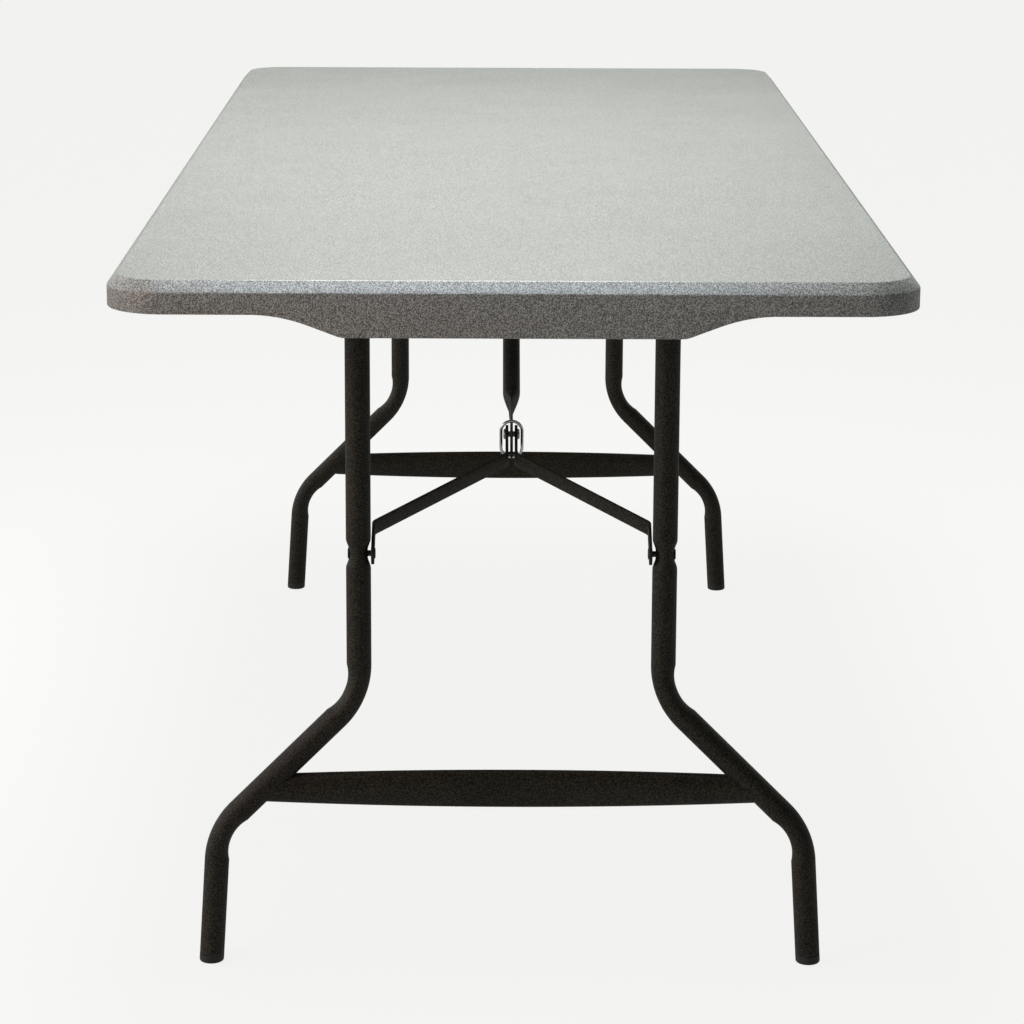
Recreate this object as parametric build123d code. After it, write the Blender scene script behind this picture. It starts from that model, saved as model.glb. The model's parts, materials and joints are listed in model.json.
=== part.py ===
# Folding banquet table: a blow-moulded top on two folding steel leg frames.
# Millimetres. +Z up, Y along the table, X across it. The origin is on the floor,
# under the middle of the top. Front is -Y, rear is +Y, left is -X, right is +X.
# The front end is drawn and the rear end is its mirror image.
from build123d import *

import os
from math import atan2, cos, degrees, hypot, radians, sin, tan

# ---- Overall size ----
TABLE_WIDTH = 762.0
TABLE_LENGTH = 1829.0
TABLE_HEIGHT = 737.0
HALF_WIDTH = TABLE_WIDTH / 2
HALF_LENGTH = TABLE_LENGTH / 2

# ---- Blow-moulded top ----
CORNER_RADIUS = 57.0
BEVEL_DROP = 11.0
BEVEL_INSET = 10.0
SLAB_THICKNESS = 18.0
SKIRT_DEPTH = 31.0
SKIRT_WALL = 16.0
APRON_DEPTH = 52.5
APRON_WALL = 13.0
APRON_HALF_FLAT = 155.0
APRON_HALF_FOOT = 255.0
APRON_OVERLAP = 4.0
SKIN = 2.6
CAVITY_MARGIN = 26.0
BOSS_RADIUS = 9.0
UNDERSIDE_Z = TABLE_HEIGHT - SLAB_THICKNESS
SKIRT_Z = TABLE_HEIGHT - SKIRT_DEPTH
APRON_Z = TABLE_HEIGHT - APRON_DEPTH

# ---- Leg frame ----
TUBE_RADIUS = 12.5
TUBE_WALL = 1.2
PIVOT_Z = 698.0
FOOT_INSET = 184.0
LEAN = 1.0
PIVOT_Y = -HALF_LENGTH + FOOT_INSET + PIVOT_Z * tan(radians(LEAN))
UPRIGHT_X = 153.0
UPPER_BEND_Z = 282.5
LOWER_BEND_X = 297.0
LOWER_BEND_Z = 138.9
FOOT_X = 306.0
BEND_RADIUS = 80.0
RIVET_DROP = 268.0
CRIMP_DEPTH = 3.1
CRIMP_HALF_FLAT = 6.0
CRIMP_HALF_LENGTH = 14.0
TUBE_END_Z = 9.0
CAP_EDGE = 2.5
PLUG_LENGTH = 22.0
FIT_GAP = 0.05
BODY_GAP = 0.3
CUT_CLEARANCE = 5.0

# ---- Stretcher: a tube pressed oval, flattest in the middle ----
STRETCHER_Z = 185.0
STRETCHER_HALF_SPAN = 252.0
STRETCHER_MID_HEIGHT = 39.5
STRETCHER_END_HEIGHT = 28.5
STRETCHER_MID_DEPTH = 11.6
STRETCHER_END_DEPTH = 23.0
STRETCHER_SECTIONS = 9

# ---- Cross tube and its brackets ----
CROSS_HALF_LENGTH = 322.0
CROSS_PLUG_DEPTH = 15.0
CROSS_PLUG_CAP = 2.5
CROSS_PLUG_EDGE = 1.5
BRACKET_X = 292.0
BRACKET_WIDTH = 30.0
BRACKET_SHEET = 2.5
BRACKET_HALF_FOOT = 40.0
BRACKET_SCREW_Y = 29.0
PLATE_CORNER = 6.0

# ---- Centre brace ----
BRACE_SLOPE = 0.6
STRIP_THICKNESS = 3.0
STRIP_WIDTH = 18.2
STRIP_LEG_X = 138.6
STRIP_APEX_X = 4.75
STRIP_LEG_TAB = 36.0
STRIP_APEX_TAB = 38.0
STRIP_LEG_END = 12.0
STRIP_APEX_END = 9.5
STRIP_BEND = 5.0
RIVET_RADIUS = 3.0
RIVET_HEAD_RADIUS = 5.5
RIVET_HEAD_HEIGHT = 2.2
LOW_HEAD_HEIGHT = 1.2
HEAD_ROUNDING = 0.8
STRIP_COLLAR = 0.3
BRACE_TUBE_RADIUS = 9.0
FLAT_THICKNESS = 3.0
FLAT_WIDTH = 26.0
FLAT_TAIL = 28.0
FLAT_LENGTH = 38.0
FLAT_CORNER = 7.8
FLAT_EDGE = 1.2
PETAL_LENGTH = 25.0
STOP_BUMP_START = 32.5
STOP_BUMP_LENGTH = 5.0
STOP_BUMP_PROUD = 1.4
STOP_BUMP_WIDTH = 13.0
STOP_BUMP_EDGE = 1.1
ANCHOR_END = 12.0

# ---- Lock ring ----
RING_WIRE = 3.0
RING_WIDTH = 24.8
RING_HEIGHT = 43.0
RING_TOP_OUT = 16.5
RING_TOP_ALONG = 1.8
RING_TILT = 20.0
RING_SIDE_FLAT = 0.2

# ---- Brace bracket ----
EAR_GAP = 9.4
EAR_THICKNESS = 2.5
EAR_RADIUS = 11.0
BRACE_PLATE_HALF_X = 34.0
BRACE_PLATE_HALF_Y = 24.0
BRACE_SCREW_X = 23.0
BRACE_SCREW_Y = 14.5

# ---- Side rails ----
RAIL_X = 347.0
RAIL_WIDTH = 24.0
RAIL_HEIGHT = 17.0
RAIL_SHEET = 1.5
RAIL_EDGE = 2.4
RAIL_HALF_LENGTH = 815.0
RAIL_SCREWS = 7
RAIL_SCREW_MARGIN = 25.0

# ---- Leg storage clips ----
CLIP_REACH = 330.0
CLIP_WIDTH = 24.0
CLIP_WALL = 3.0
CLIP_GAP = 0.4
CLIP_JAW = 7.0
CLIP_EAR = 16.0
CLIP_CORNER = 5.0

# ---- Screws ----
SCREW_RADIUS = 2.2
SCREW_LENGTH = 13.0
SCREW_HEAD_RADIUS = 4.5
SCREW_HEAD_HEIGHT = 2.4
SCREW_HEAD_EDGE = 1.4

# ---- Positions that follow from the sizes above ----
# The brace lies straight from the leg rivet up to its anchor. Folded flat, the same
# two links lie back on each other, so their lengths are half the sum and half the
# difference of the open and folded distances between rivet and anchor.
LEG_RIVET_Y = PIVOT_Y - RIVET_DROP * sin(radians(LEAN))
LEG_RIVET_Z = PIVOT_Z - RIVET_DROP * cos(radians(LEAN))
ANCHOR_Y = LEG_RIVET_Y + (PIVOT_Z - LEG_RIVET_Z) / BRACE_SLOPE
BRACE_ANGLE = atan2(PIVOT_Z - LEG_RIVET_Z, ANCHOR_Y - LEG_RIVET_Y)
OPEN_SPAN = hypot(ANCHOR_Y - LEG_RIVET_Y, PIVOT_Z - LEG_RIVET_Z)
FOLDED_SPAN = ANCHOR_Y - PIVOT_Y - RIVET_DROP
LOWER_LINK = (OPEN_SPAN - FOLDED_SPAN) / 2
UPPER_LINK = (OPEN_SPAN + FOLDED_SPAN) / 2
APEX_Y = LEG_RIVET_Y + LOWER_LINK * cos(BRACE_ANGLE)
APEX_Z = LEG_RIVET_Z + LOWER_LINK * sin(BRACE_ANGLE)
LEG_FOLD = 90.0 + LEAN
CLIP_Y = PIVOT_Y + CLIP_REACH
BIG = 400.0


def on_leg_frame(shape):
    """Places a shape drawn about the cross tube's axis, legs straight down, at the front."""
    return Pos(0, PIVOT_Y, PIVOT_Z) * Rot(-LEAN, 0, 0) * shape


def on_brace(shape):
    """Places a shape drawn with the brace along +X of its own plane, apex at zero.

    The shape's X runs up the brace, its Y across the table and its Z out of the brace.
    """
    along = (0, cos(BRACE_ANGLE), sin(BRACE_ANGLE))
    outward = (0, -sin(BRACE_ANGLE), cos(BRACE_ANGLE))
    return Plane(origin=(0, APEX_Y, APEX_Z), x_dir=along, z_dir=outward) * shape


def to_rear(shape):
    """Mirrors a front piece to the rear end."""
    return mirror(shape, about=Plane.XZ)


def to_left(shape):
    """Mirrors a right piece to the left side."""
    return mirror(shape, about=Plane.YZ)


def rod_x(radius, x_from, x_to, y, z):
    """A round bar along X."""
    middle = (x_from + x_to) / 2
    return Pos(middle, y, z) * Rot(0, 90, 0) * Cylinder(radius, abs(x_to - x_from))


def dome_head(x, side, height=RIVET_HEAD_HEIGHT):
    """A domed rivet head whose flat face is at x, standing out towards side."""
    head = Cylinder(RIVET_HEAD_RADIUS, height, align=(Align.CENTER, Align.CENTER, Align.MIN))
    head = fillet(head.edges().sort_by(Axis.Z)[-1], height * HEAD_ROUNDING)
    return Pos(x, 0, 0) * Rot(0, 90 * side, 0) * head


# ---- Tabletop ----


def rim_outline(inset):
    """The top's plan outline, drawn in by an inset."""
    return RectangleRounded(TABLE_WIDTH - 2 * inset, TABLE_LENGTH - 2 * inset, CORNER_RADIUS - inset)


def apron():
    """The deeper middle of an end wall, with an S-curve at each side."""
    top = SKIRT_Z + APRON_OVERLAP
    right = Spline(
        (APRON_HALF_FOOT, SKIRT_Z),
        (APRON_HALF_FLAT, APRON_Z),
        tangents=[(-1, 0), (-1, 0)],
    )
    left = Spline(
        (-APRON_HALF_FLAT, APRON_Z),
        (-APRON_HALF_FOOT, SKIRT_Z),
        tangents=[(-1, 0), (-1, 0)],
    )
    outline = Wire(
        [
            *right.edges(),
            Edge.make_line((APRON_HALF_FLAT, APRON_Z), (-APRON_HALF_FLAT, APRON_Z)),
            *left.edges(),
            Edge.make_line((-APRON_HALF_FOOT, SKIRT_Z), (-APRON_HALF_FOOT, top)),
            Edge.make_line((-APRON_HALF_FOOT, top), (APRON_HALF_FOOT, top)),
            Edge.make_line((APRON_HALF_FOOT, top), (APRON_HALF_FOOT, SKIRT_Z)),
        ]
    )
    drawn = Plane(origin=(0, -HALF_LENGTH, 0), x_dir=(1, 0, 0), z_dir=(0, -1, 0)) * make_face(outline.edges())
    return extrude(drawn, -APRON_WALL)


def screw_places():
    """Centres of every screw that goes up into the top, each with its seat's height."""
    places = []
    for end in (-1, 1):
        for side in (-1, 1):
            for shift in (-BRACKET_SCREW_Y, BRACKET_SCREW_Y):
                places.append(("bracket", side * BRACKET_X, end * -PIVOT_Y + shift, BRACKET_SHEET))
            places.extend(
                ("clip", side * UPRIGHT_X + shift, end * -CLIP_Y, CLIP_WALL)
                for shift in (-clip_screw_x(), clip_screw_x())
            )
            for shift in (-1, 1):
                y = end * -ANCHOR_Y + shift * BRACE_SCREW_Y
                places.append(("brace", side * BRACE_SCREW_X, y, EAR_THICKNESS))
    for side in (-1, 1):
        for index in range(RAIL_SCREWS):
            y = (index / (RAIL_SCREWS - 1) - 0.5) * 2 * (RAIL_HALF_LENGTH - RAIL_SCREW_MARGIN)
            places.append(("rail", side * RAIL_X, y, RAIL_SHEET))
    return places


def clip_screw_x():
    """How far a clip's screws stand from the middle of the clip."""
    return TUBE_RADIUS + CLIP_GAP + CLIP_WALL + CLIP_EAR / 2


def blow_molded_top():
    """One hollow moulding: flat top, bevelled edge, hanging rim and two aprons."""
    body_height = SKIRT_DEPTH - BEVEL_DROP
    body = Pos(0, 0, SKIRT_Z) * extrude(rim_outline(0), body_height)
    bevel = loft(
        [
            Pos(0, 0, TABLE_HEIGHT - BEVEL_DROP) * rim_outline(0),
            Pos(0, 0, TABLE_HEIGHT) * rim_outline(BEVEL_INSET),
        ]
    )
    recess_depth = UNDERSIDE_Z - SKIRT_Z
    recess = Pos(0, 0, SKIRT_Z) * extrude(rim_outline(SKIRT_WALL), recess_depth)
    cavity_plan = rim_outline(CAVITY_MARGIN)
    cavity = Pos(0, 0, UNDERSIDE_Z + SKIN) * extrude(cavity_plan, SLAB_THICKNESS - 2 * SKIN)
    bosses = [
        Pos(x, y, UNDERSIDE_Z + SLAB_THICKNESS / 2) * Cylinder(BOSS_RADIUS, SLAB_THICKNESS)
        for _, x, y, _ in screw_places()
    ]
    shanks = [screw_shank(x, y, seat) for _, x, y, seat in screw_places()]
    body = body + bevel - recess + apron() + to_rear(apron())
    return body - (cavity - bosses) - shanks


# ---- Screws ----


def screw_shank(x, y, seat):
    """The threaded part of a screw, from its head's seat up into the top."""
    bottom = UNDERSIDE_Z - seat
    return Pos(x, y, bottom + SCREW_LENGTH / 2) * Cylinder(SCREW_RADIUS, SCREW_LENGTH)


def screw_group(kind):
    """All the screws of one kind: shank and pan head below its seat."""
    screws = []
    for name, x, y, seat in screw_places():
        if name == kind:
            head = Cylinder(SCREW_HEAD_RADIUS, SCREW_HEAD_HEIGHT)
            head = fillet(head.edges().sort_by(Axis.Z)[0], SCREW_HEAD_EDGE)
            head = Pos(x, y, UNDERSIDE_Z - seat - SCREW_HEAD_HEIGHT / 2) * head
            screws.append(head + screw_shank(x, y, seat))
    return screws


def screw_holes(kind):
    """Holes for one kind of screw, to cut from what it fastens."""
    return [screw_shank(x, y, seat) for name, x, y, seat in screw_places() if name == kind]


# ---- Side rails ----


def side_rail():
    """A roll-formed channel, open downwards, along the right side of the underside."""
    centre_z = UNDERSIDE_Z - RAIL_HEIGHT / 2
    outer = Pos(RAIL_X, 0, centre_z) * Box(RAIL_WIDTH, 2 * RAIL_HALF_LENGTH, RAIL_HEIGHT)
    outer = fillet(outer.edges().filter_by(Axis.Y).sort_by(Axis.Z)[-2:], RAIL_EDGE)
    inner = Pos(RAIL_X, 0, centre_z - RAIL_SHEET) * Box(
        RAIL_WIDTH - 2 * RAIL_SHEET, 2 * (RAIL_HALF_LENGTH + CUT_CLEARANCE), RAIL_HEIGHT
    )
    return outer - inner - screw_holes("rail")


# ---- Cross tube brackets ----


def pivot_bracket():
    """A pressed steel strap that holds the front cross tube, right side."""
    bore_radius = TUBE_RADIUS + FIT_GAP
    outer_radius = bore_radius + BRACKET_SHEET
    ring = rod_x(outer_radius, BRACKET_X - BRACKET_WIDTH / 2, BRACKET_X + BRACKET_WIDTH / 2, PIVOT_Y, PIVOT_Z)
    neck_height = UNDERSIDE_Z - PIVOT_Z
    neck = Pos(BRACKET_X, PIVOT_Y, PIVOT_Z + neck_height / 2) * Box(
        BRACKET_WIDTH, 2 * outer_radius, neck_height
    )
    foot = Pos(BRACKET_X, PIVOT_Y, UNDERSIDE_Z - BRACKET_SHEET / 2) * Box(
        BRACKET_WIDTH, 2 * BRACKET_HALF_FOOT, BRACKET_SHEET
    )
    foot = fillet(foot.edges().filter_by(Axis.Z), PLATE_CORNER)
    bore = rod_x(bore_radius, BRACKET_X - BIG, BRACKET_X + BIG, PIVOT_Y, PIVOT_Z)
    return ring + neck + foot - bore - screw_holes("bracket")


# ---- Leg frame ----


def leg_solid(radius, crimp):
    """The right leg's tube as a solid bar, pinched from both sides at the brace rivet."""
    path = FilletPolyline(
        (UPRIGHT_X, 0, 0),
        (UPRIGHT_X, 0, UPPER_BEND_Z - PIVOT_Z),
        (LOWER_BEND_X, 0, LOWER_BEND_Z - PIVOT_Z),
        (FOOT_X, 0, -PIVOT_Z),
        radius=BEND_RADIUS,
    )
    section = Plane(origin=path @ 0, z_dir=path % 0) * Circle(radius)
    bar = sweep(section, path=path)
    return bar - pinch(radius, crimp)


def pinch(radius, depth):
    """The two dents that a pinch leaves in a bar, one each side across X."""
    slope = (CRIMP_HALF_LENGTH - CRIMP_HALF_FLAT) / depth
    reach = radius + CUT_CLEARANCE
    half_mouth = CRIMP_HALF_LENGTH + CUT_CLEARANCE * slope
    dent = Polygon(
        (radius - depth, -CRIMP_HALF_FLAT),
        (reach, -half_mouth),
        (reach, half_mouth),
        (radius - depth, CRIMP_HALF_FLAT),
        align=None,
    )
    slab = extrude(Plane.XZ * dent, reach, both=True)
    middle = Pos(UPRIGHT_X, 0, -RIVET_DROP)
    return [middle * slab, middle * mirror(slab, about=Plane.YZ)]


def end_cut():
    """Everything below the height where the leg tubes stop."""
    return Pos(0, PIVOT_Y, TUBE_END_Z - BIG) * Box(4 * BIG, BIG, 2 * BIG)


def leg():
    """The front right leg: a bent tube, coped to the cross tube and pinched at the rivet."""
    outer = leg_solid(TUBE_RADIUS, CRIMP_DEPTH)
    inner = leg_solid(TUBE_RADIUS - TUBE_WALL, CRIMP_DEPTH)
    cross = rod_x(TUBE_RADIUS, -BIG, BIG, 0, 0)
    rivet = rod_x(RIVET_RADIUS, UPRIGHT_X - BIG / 4, UPRIGHT_X + BIG / 4, 0, -RIVET_DROP)
    return on_leg_frame(outer - inner - cross - rivet) - end_cut()


def foot_cap():
    """A plastic cap on the front right leg's end, with a plug up inside the tube."""
    splay = degrees(atan2(FOOT_X - LOWER_BEND_X, LOWER_BEND_Z))
    axis = Pos(FOOT_X, 0, -PIVOT_Z) * Rot(0, -splay, 0)
    rim = on_leg_frame(axis * Cylinder(TUBE_RADIUS, 2 * (TUBE_END_Z + CUT_CLEARANCE)))
    rim = rim - Pos(FOOT_X, PIVOT_Y, TUBE_END_Z + BIG) * Box(BIG, BIG, 2 * BIG)
    rim = rim - Pos(FOOT_X, PIVOT_Y, -BIG) * Box(BIG, BIG, 2 * BIG)
    rim = fillet(rim.edges().sort_by(Axis.Z)[0], CAP_EDGE)
    plug = on_leg_frame(axis * Cylinder(TUBE_RADIUS - TUBE_WALL - FIT_GAP, 2 * (TUBE_END_Z + PLUG_LENGTH)))
    return rim + (plug - end_cut())


def cross_tube():
    """The tube that the front frame turns on, open at both ends."""
    bar = rod_x(TUBE_RADIUS, -CROSS_HALF_LENGTH, CROSS_HALF_LENGTH, 0, 0)
    bore = rod_x(TUBE_RADIUS - TUBE_WALL, -BIG, BIG, 0, 0)
    return on_leg_frame(bar - bore)


def cross_tube_plug():
    """A plastic plug in the right end of the front cross tube."""
    inside = TUBE_RADIUS - TUBE_WALL - FIT_GAP
    plug = rod_x(inside, CROSS_HALF_LENGTH - CROSS_PLUG_DEPTH, CROSS_HALF_LENGTH, 0, 0)
    cap = rod_x(TUBE_RADIUS, CROSS_HALF_LENGTH, CROSS_HALF_LENGTH + CROSS_PLUG_CAP, 0, 0)
    cap = fillet(cap.edges().sort_by(Axis.X)[-1], CROSS_PLUG_EDGE)
    return on_leg_frame(plug + cap)


def stretcher_sections(shrink):
    """Oval sections along the stretcher, drawn in by a wall's thickness."""
    sections = []
    for index in range(STRETCHER_SECTIONS):
        along = 2 * index / (STRETCHER_SECTIONS - 1) - 1
        height = STRETCHER_MID_HEIGHT + (STRETCHER_END_HEIGHT - STRETCHER_MID_HEIGHT) * along**2
        depth = STRETCHER_MID_DEPTH + (STRETCHER_END_DEPTH - STRETCHER_MID_DEPTH) * along**2
        oval = Ellipse(depth / 2 - shrink, height / 2 - shrink)
        place = Plane(origin=(along * STRETCHER_HALF_SPAN, 0, 0), x_dir=(0, 1, 0), z_dir=(1, 0, 0))
        sections.append(place * oval)
    return sections


def stretcher():
    """The oval bar between the front legs, coped to the sloping part of each."""
    bar = loft(stretcher_sections(0)) - loft(stretcher_sections(TUBE_WALL))
    bar = Pos(0, 0, STRETCHER_Z - PIVOT_Z) * bar
    right_leg = leg_solid(TUBE_RADIUS, CRIMP_DEPTH)
    pieces = (bar - right_leg - to_left(right_leg)).solids()
    return on_leg_frame(pieces.sort_by(SortBy.VOLUME)[-1])


def leg_rivets():
    """The halves of the brace rivets that stay in the front legs: outer head and shank."""
    inner_face = STRIP_LEG_X + STRIP_THICKNESS / 2 + STRIP_COLLAR + BODY_GAP
    outer_face = UPRIGHT_X + TUBE_RADIUS - CRIMP_DEPTH
    shank = rod_x(RIVET_RADIUS, inner_face, outer_face, 0, 0)
    rivet = Pos(0, 0, -RIVET_DROP) * (shank + dome_head(outer_face, 1, LOW_HEAD_HEIGHT))
    placed = on_leg_frame(rivet)
    return [to_left(placed), placed]


# ---- Centre brace ----


def brace_strip():
    """The right arm of the V: a flat strip on edge from the leg in to the apex."""
    leg_end = -LOWER_LINK - STRIP_LEG_END
    path = FilletPolyline(
        (leg_end, -STRIP_LEG_X),
        (-LOWER_LINK + STRIP_LEG_TAB, -STRIP_LEG_X),
        (-STRIP_APEX_TAB, -STRIP_APEX_X),
        (STRIP_APEX_END, -STRIP_APEX_X),
        radius=STRIP_BEND,
    )
    band = extrude(trace(path, STRIP_THICKNESS), STRIP_WIDTH / 2, both=True)
    length = STRIP_APEX_END - leg_end
    round_ends = SlotOverall(length, STRIP_WIDTH)
    envelope = Pos((STRIP_APEX_END + leg_end) / 2, 0, 0) * Rot(90, 0, 0) * extrude(round_ends, BIG, both=True)
    holes = [
        Pos(at, 0, 0) * Rot(90, 0, 0) * Cylinder(RIVET_RADIUS, BIG)
        for at in (0, -LOWER_LINK)
    ]
    return on_brace((band & envelope) - holes)


def strip_rivets():
    """The halves of the brace rivets that stay in the strips: inner head and collar."""
    inner_face = STRIP_LEG_X - STRIP_THICKNESS / 2
    outer_face = STRIP_LEG_X + STRIP_THICKNESS / 2
    shank = rod_x(RIVET_RADIUS, inner_face, outer_face, 0, 0)
    collar = rod_x(RIVET_HEAD_RADIUS, outer_face, outer_face + STRIP_COLLAR, 0, 0)
    rivet = Pos(0, LEG_RIVET_Y, LEG_RIVET_Z) * (shank + collar + dome_head(inner_face, -1, LOW_HEAD_HEIGHT))
    return [to_left(rivet), rivet]


def apex_rivet():
    """The rivet that joins both strips to the flat end of the brace tube."""
    face = STRIP_APEX_X + STRIP_THICKNESS / 2
    rivet = rod_x(RIVET_RADIUS, -face, face, 0, 0) + dome_head(face, 1) + dome_head(-face, -1)
    return Pos(0, APEX_Y, APEX_Z) * rivet


def brace_tube():
    """The centre tube: round at the anchor, pressed flat on edge at the apex."""
    flat_middle = (FLAT_LENGTH - FLAT_TAIL) / 2
    flat = Pos(flat_middle, 0, 0) * Box(FLAT_LENGTH + FLAT_TAIL, FLAT_THICKNESS, FLAT_WIDTH)
    flat = fillet(flat.edges().filter_by(Axis.Y).sort_by(Axis.X)[:2], FLAT_CORNER)
    flat = fillet(flat.edges().filter_by(Axis.X), FLAT_EDGE)
    bump_height = FLAT_THICKNESS / 2 + STOP_BUMP_PROUD
    bump = Pos(STOP_BUMP_START + STOP_BUMP_LENGTH / 2, bump_height / 2, 0) * Box(
        STOP_BUMP_LENGTH, bump_height, STOP_BUMP_WIDTH
    )
    bump = fillet(bump.edges().filter_by(Axis.Z).sort_by(Axis.Y)[-2:], STOP_BUMP_EDGE)
    petal_start = Plane(origin=(FLAT_LENGTH, 0, 0), x_dir=(0, 1, 0), z_dir=(1, 0, 0))
    petal_end = petal_start.offset(PETAL_LENGTH)
    pressed = petal_start * Ellipse(FLAT_THICKNESS / 2, FLAT_WIDTH / 2)
    petal = loft([pressed, petal_end * Circle(BRACE_TUBE_RADIUS)])
    round_length = UPPER_LINK + ANCHOR_END - FLAT_LENGTH - PETAL_LENGTH
    ring = Circle(BRACE_TUBE_RADIUS) - Circle(BRACE_TUBE_RADIUS - TUBE_WALL)
    barrel = extrude(petal_end * ring, round_length)
    apex_hole = Rot(90, 0, 0) * Cylinder(RIVET_RADIUS + FIT_GAP, BIG)
    anchor_hole = Pos(UPPER_LINK, 0, 0) * Rot(90, 0, 0) * Cylinder(RIVET_RADIUS + FIT_GAP, BIG)
    return on_brace(flat + bump + petal + barrel - apex_hole - anchor_hole)


def lock_ring():
    """A closed wire loop that drops over the apex and keeps the brace straight."""
    width = RING_WIDTH - RING_WIRE
    height = RING_HEIGHT - RING_WIRE
    tilt = radians(RING_TILT)
    top = Plane(
        origin=(RING_TOP_ALONG, 0, RING_TOP_OUT), x_dir=(0, 1, 0), z_dir=(cos(tilt), 0, -sin(tilt))
    )
    centre = top * Pos(0, -height / 2, 0)
    outer_edge = centre * RectangleRounded(width, height, (width - RING_SIDE_FLAT) / 2)
    path = outer_edge.face().outer_wire()
    section = Plane(origin=path @ 0, z_dir=path % 0) * Circle(RING_WIRE / 2)
    return on_brace(sweep(section, path=path))


def brace_bracket():
    """A pressed bracket under the top: a plate with two ears for the front brace pin."""
    plate = Pos(0, ANCHOR_Y, UNDERSIDE_Z - EAR_THICKNESS / 2) * Box(
        2 * BRACE_PLATE_HALF_X, 2 * BRACE_PLATE_HALF_Y, EAR_THICKNESS
    )
    plate = fillet(plate.edges().filter_by(Axis.Z), PLATE_CORNER)
    bracket = plate
    for side in (-1, 1):
        near = side * EAR_GAP
        far = side * (EAR_GAP + EAR_THICKNESS)
        disc = rod_x(EAR_RADIUS, near, far, ANCHOR_Y, PIVOT_Z)
        rise = UNDERSIDE_Z - PIVOT_Z
        web = Pos((near + far) / 2, ANCHOR_Y, PIVOT_Z + rise / 2) * Box(EAR_THICKNESS, 2 * EAR_RADIUS, rise)
        bracket = bracket + disc + web
    return bracket - rod_x(RIVET_RADIUS, -BIG, BIG, ANCHOR_Y, PIVOT_Z) - screw_holes("brace")


def brace_pin():
    """The pin that the front brace tube turns on, riveted over outside the ears."""
    face = EAR_GAP + EAR_THICKNESS
    pin = rod_x(RIVET_RADIUS, -face, face, 0, 0) + dome_head(face, 1) + dome_head(-face, -1)
    return Pos(0, ANCHOR_Y, PIVOT_Z) * pin


# ---- Leg storage clips ----


def leg_clip():
    """A plastic U that takes the folded front right leg, open downwards."""
    inside = TUBE_RADIUS + CLIP_GAP
    outside = inside + CLIP_WALL
    centre = Pos(UPRIGHT_X, CLIP_Y, PIVOT_Z)
    arch = centre * Rot(90, 0, 0) * Cylinder(outside, CLIP_WIDTH)
    jaws = centre * Pos(0, 0, -CLIP_JAW / 2) * Box(2 * outside, CLIP_WIDTH, CLIP_JAW)
    plate_height = UNDERSIDE_Z - PIVOT_Z
    block = centre * Pos(0, 0, plate_height / 2) * Box(2 * inside, CLIP_WIDTH, plate_height)
    ears = Pos(UPRIGHT_X, CLIP_Y, UNDERSIDE_Z - CLIP_WALL / 2) * Box(
        2 * (outside + CLIP_EAR), CLIP_WIDTH, CLIP_WALL
    )
    ears = fillet(ears.edges().filter_by(Axis.Z), CLIP_CORNER)
    body = arch + jaws + block + ears
    channel = centre * Rot(90, 0, 0) * Cylinder(inside, BIG)
    mouth = centre * Pos(0, 0, -BIG / 2) * Box(2 * inside, BIG, BIG)
    below_jaws = centre * Pos(0, 0, -CLIP_JAW - BIG / 2) * Box(BIG, BIG, BIG)
    return body - channel - mouth - below_jaws - screw_holes("clip")


# ---- Export ----


def build_nodes():
    """Every piece of the table, named."""
    nodes = {
        "blow_molded_top": blow_molded_top(),
        "right_side_rail": side_rail(),
        "rail_screws": screw_group("rail"),
        "pivot_bracket_screws": screw_group("bracket"),
        "brace_bracket_screws": screw_group("brace"),
        "leg_clip_screws": screw_group("clip"),
    }
    nodes["left_side_rail"] = to_left(nodes["right_side_rail"])
    sided = {
        "pivot_bracket": pivot_bracket(),
        "leg_clip": leg_clip(),
        "leg": leg(),
        "foot_cap": foot_cap(),
        "cross_tube_plug": cross_tube_plug(),
        "brace_strip": brace_strip(),
    }
    central = {
        "cross_tube": cross_tube(),
        "stretcher": stretcher(),
        "leg_rivets": leg_rivets(),
        "strip_rivets": strip_rivets(),
        "apex_rivet": apex_rivet(),
        "brace_tube": brace_tube(),
        "lock_ring": lock_ring(),
        "brace_bracket": brace_bracket(),
        "brace_pin": brace_pin(),
    }
    for name, piece in sided.items():
        nodes[f"front_right_{name}"] = piece
        nodes[f"front_left_{name}"] = to_left(piece)
        nodes[f"rear_right_{name}"] = to_rear(piece)
        nodes[f"rear_left_{name}"] = to_rear(to_left(piece))
    for name, piece in central.items():
        rear = [to_rear(solid) for solid in piece] if isinstance(piece, list) else to_rear(piece)
        nodes[f"front_{name}"] = piece
        nodes[f"rear_{name}"] = rear
    return nodes


def main():
    os.makedirs("parts", exist_ok=True)
    for name, piece in build_nodes().items():
        shape = Compound(children=piece) if isinstance(piece, list) else piece
        export_step(shape, f"parts/{name}.step")
    print("leg pivot y, z:", round(PIVOT_Y, 4), PIVOT_Z)
    print("leg rivet y, z:", round(LEG_RIVET_Y, 4), round(LEG_RIVET_Z, 4))
    print("apex y, z:", round(APEX_Y, 4), round(APEX_Z, 4))
    print("anchor y, z:", round(ANCHOR_Y, 4), PIVOT_Z)
    print("links:", round(LOWER_LINK, 3), round(UPPER_LINK, 3))
    print("brace angle:", round(degrees(BRACE_ANGLE), 4), "leg fold:", LEG_FOLD)


if __name__ == "__main__":
    main()
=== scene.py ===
"""Folding table: the looks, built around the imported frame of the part.

The top, the tubes and the rings are modelled here, the pressed and moulded small parts
are softened copies of the frame's own pieces, and every finish is procedural.
"""

import sys

import json
import logging
import math
from contextlib import contextmanager
from dataclasses import dataclass, field
from enum import Enum
from typing import Callable, Iterator, Optional

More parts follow.
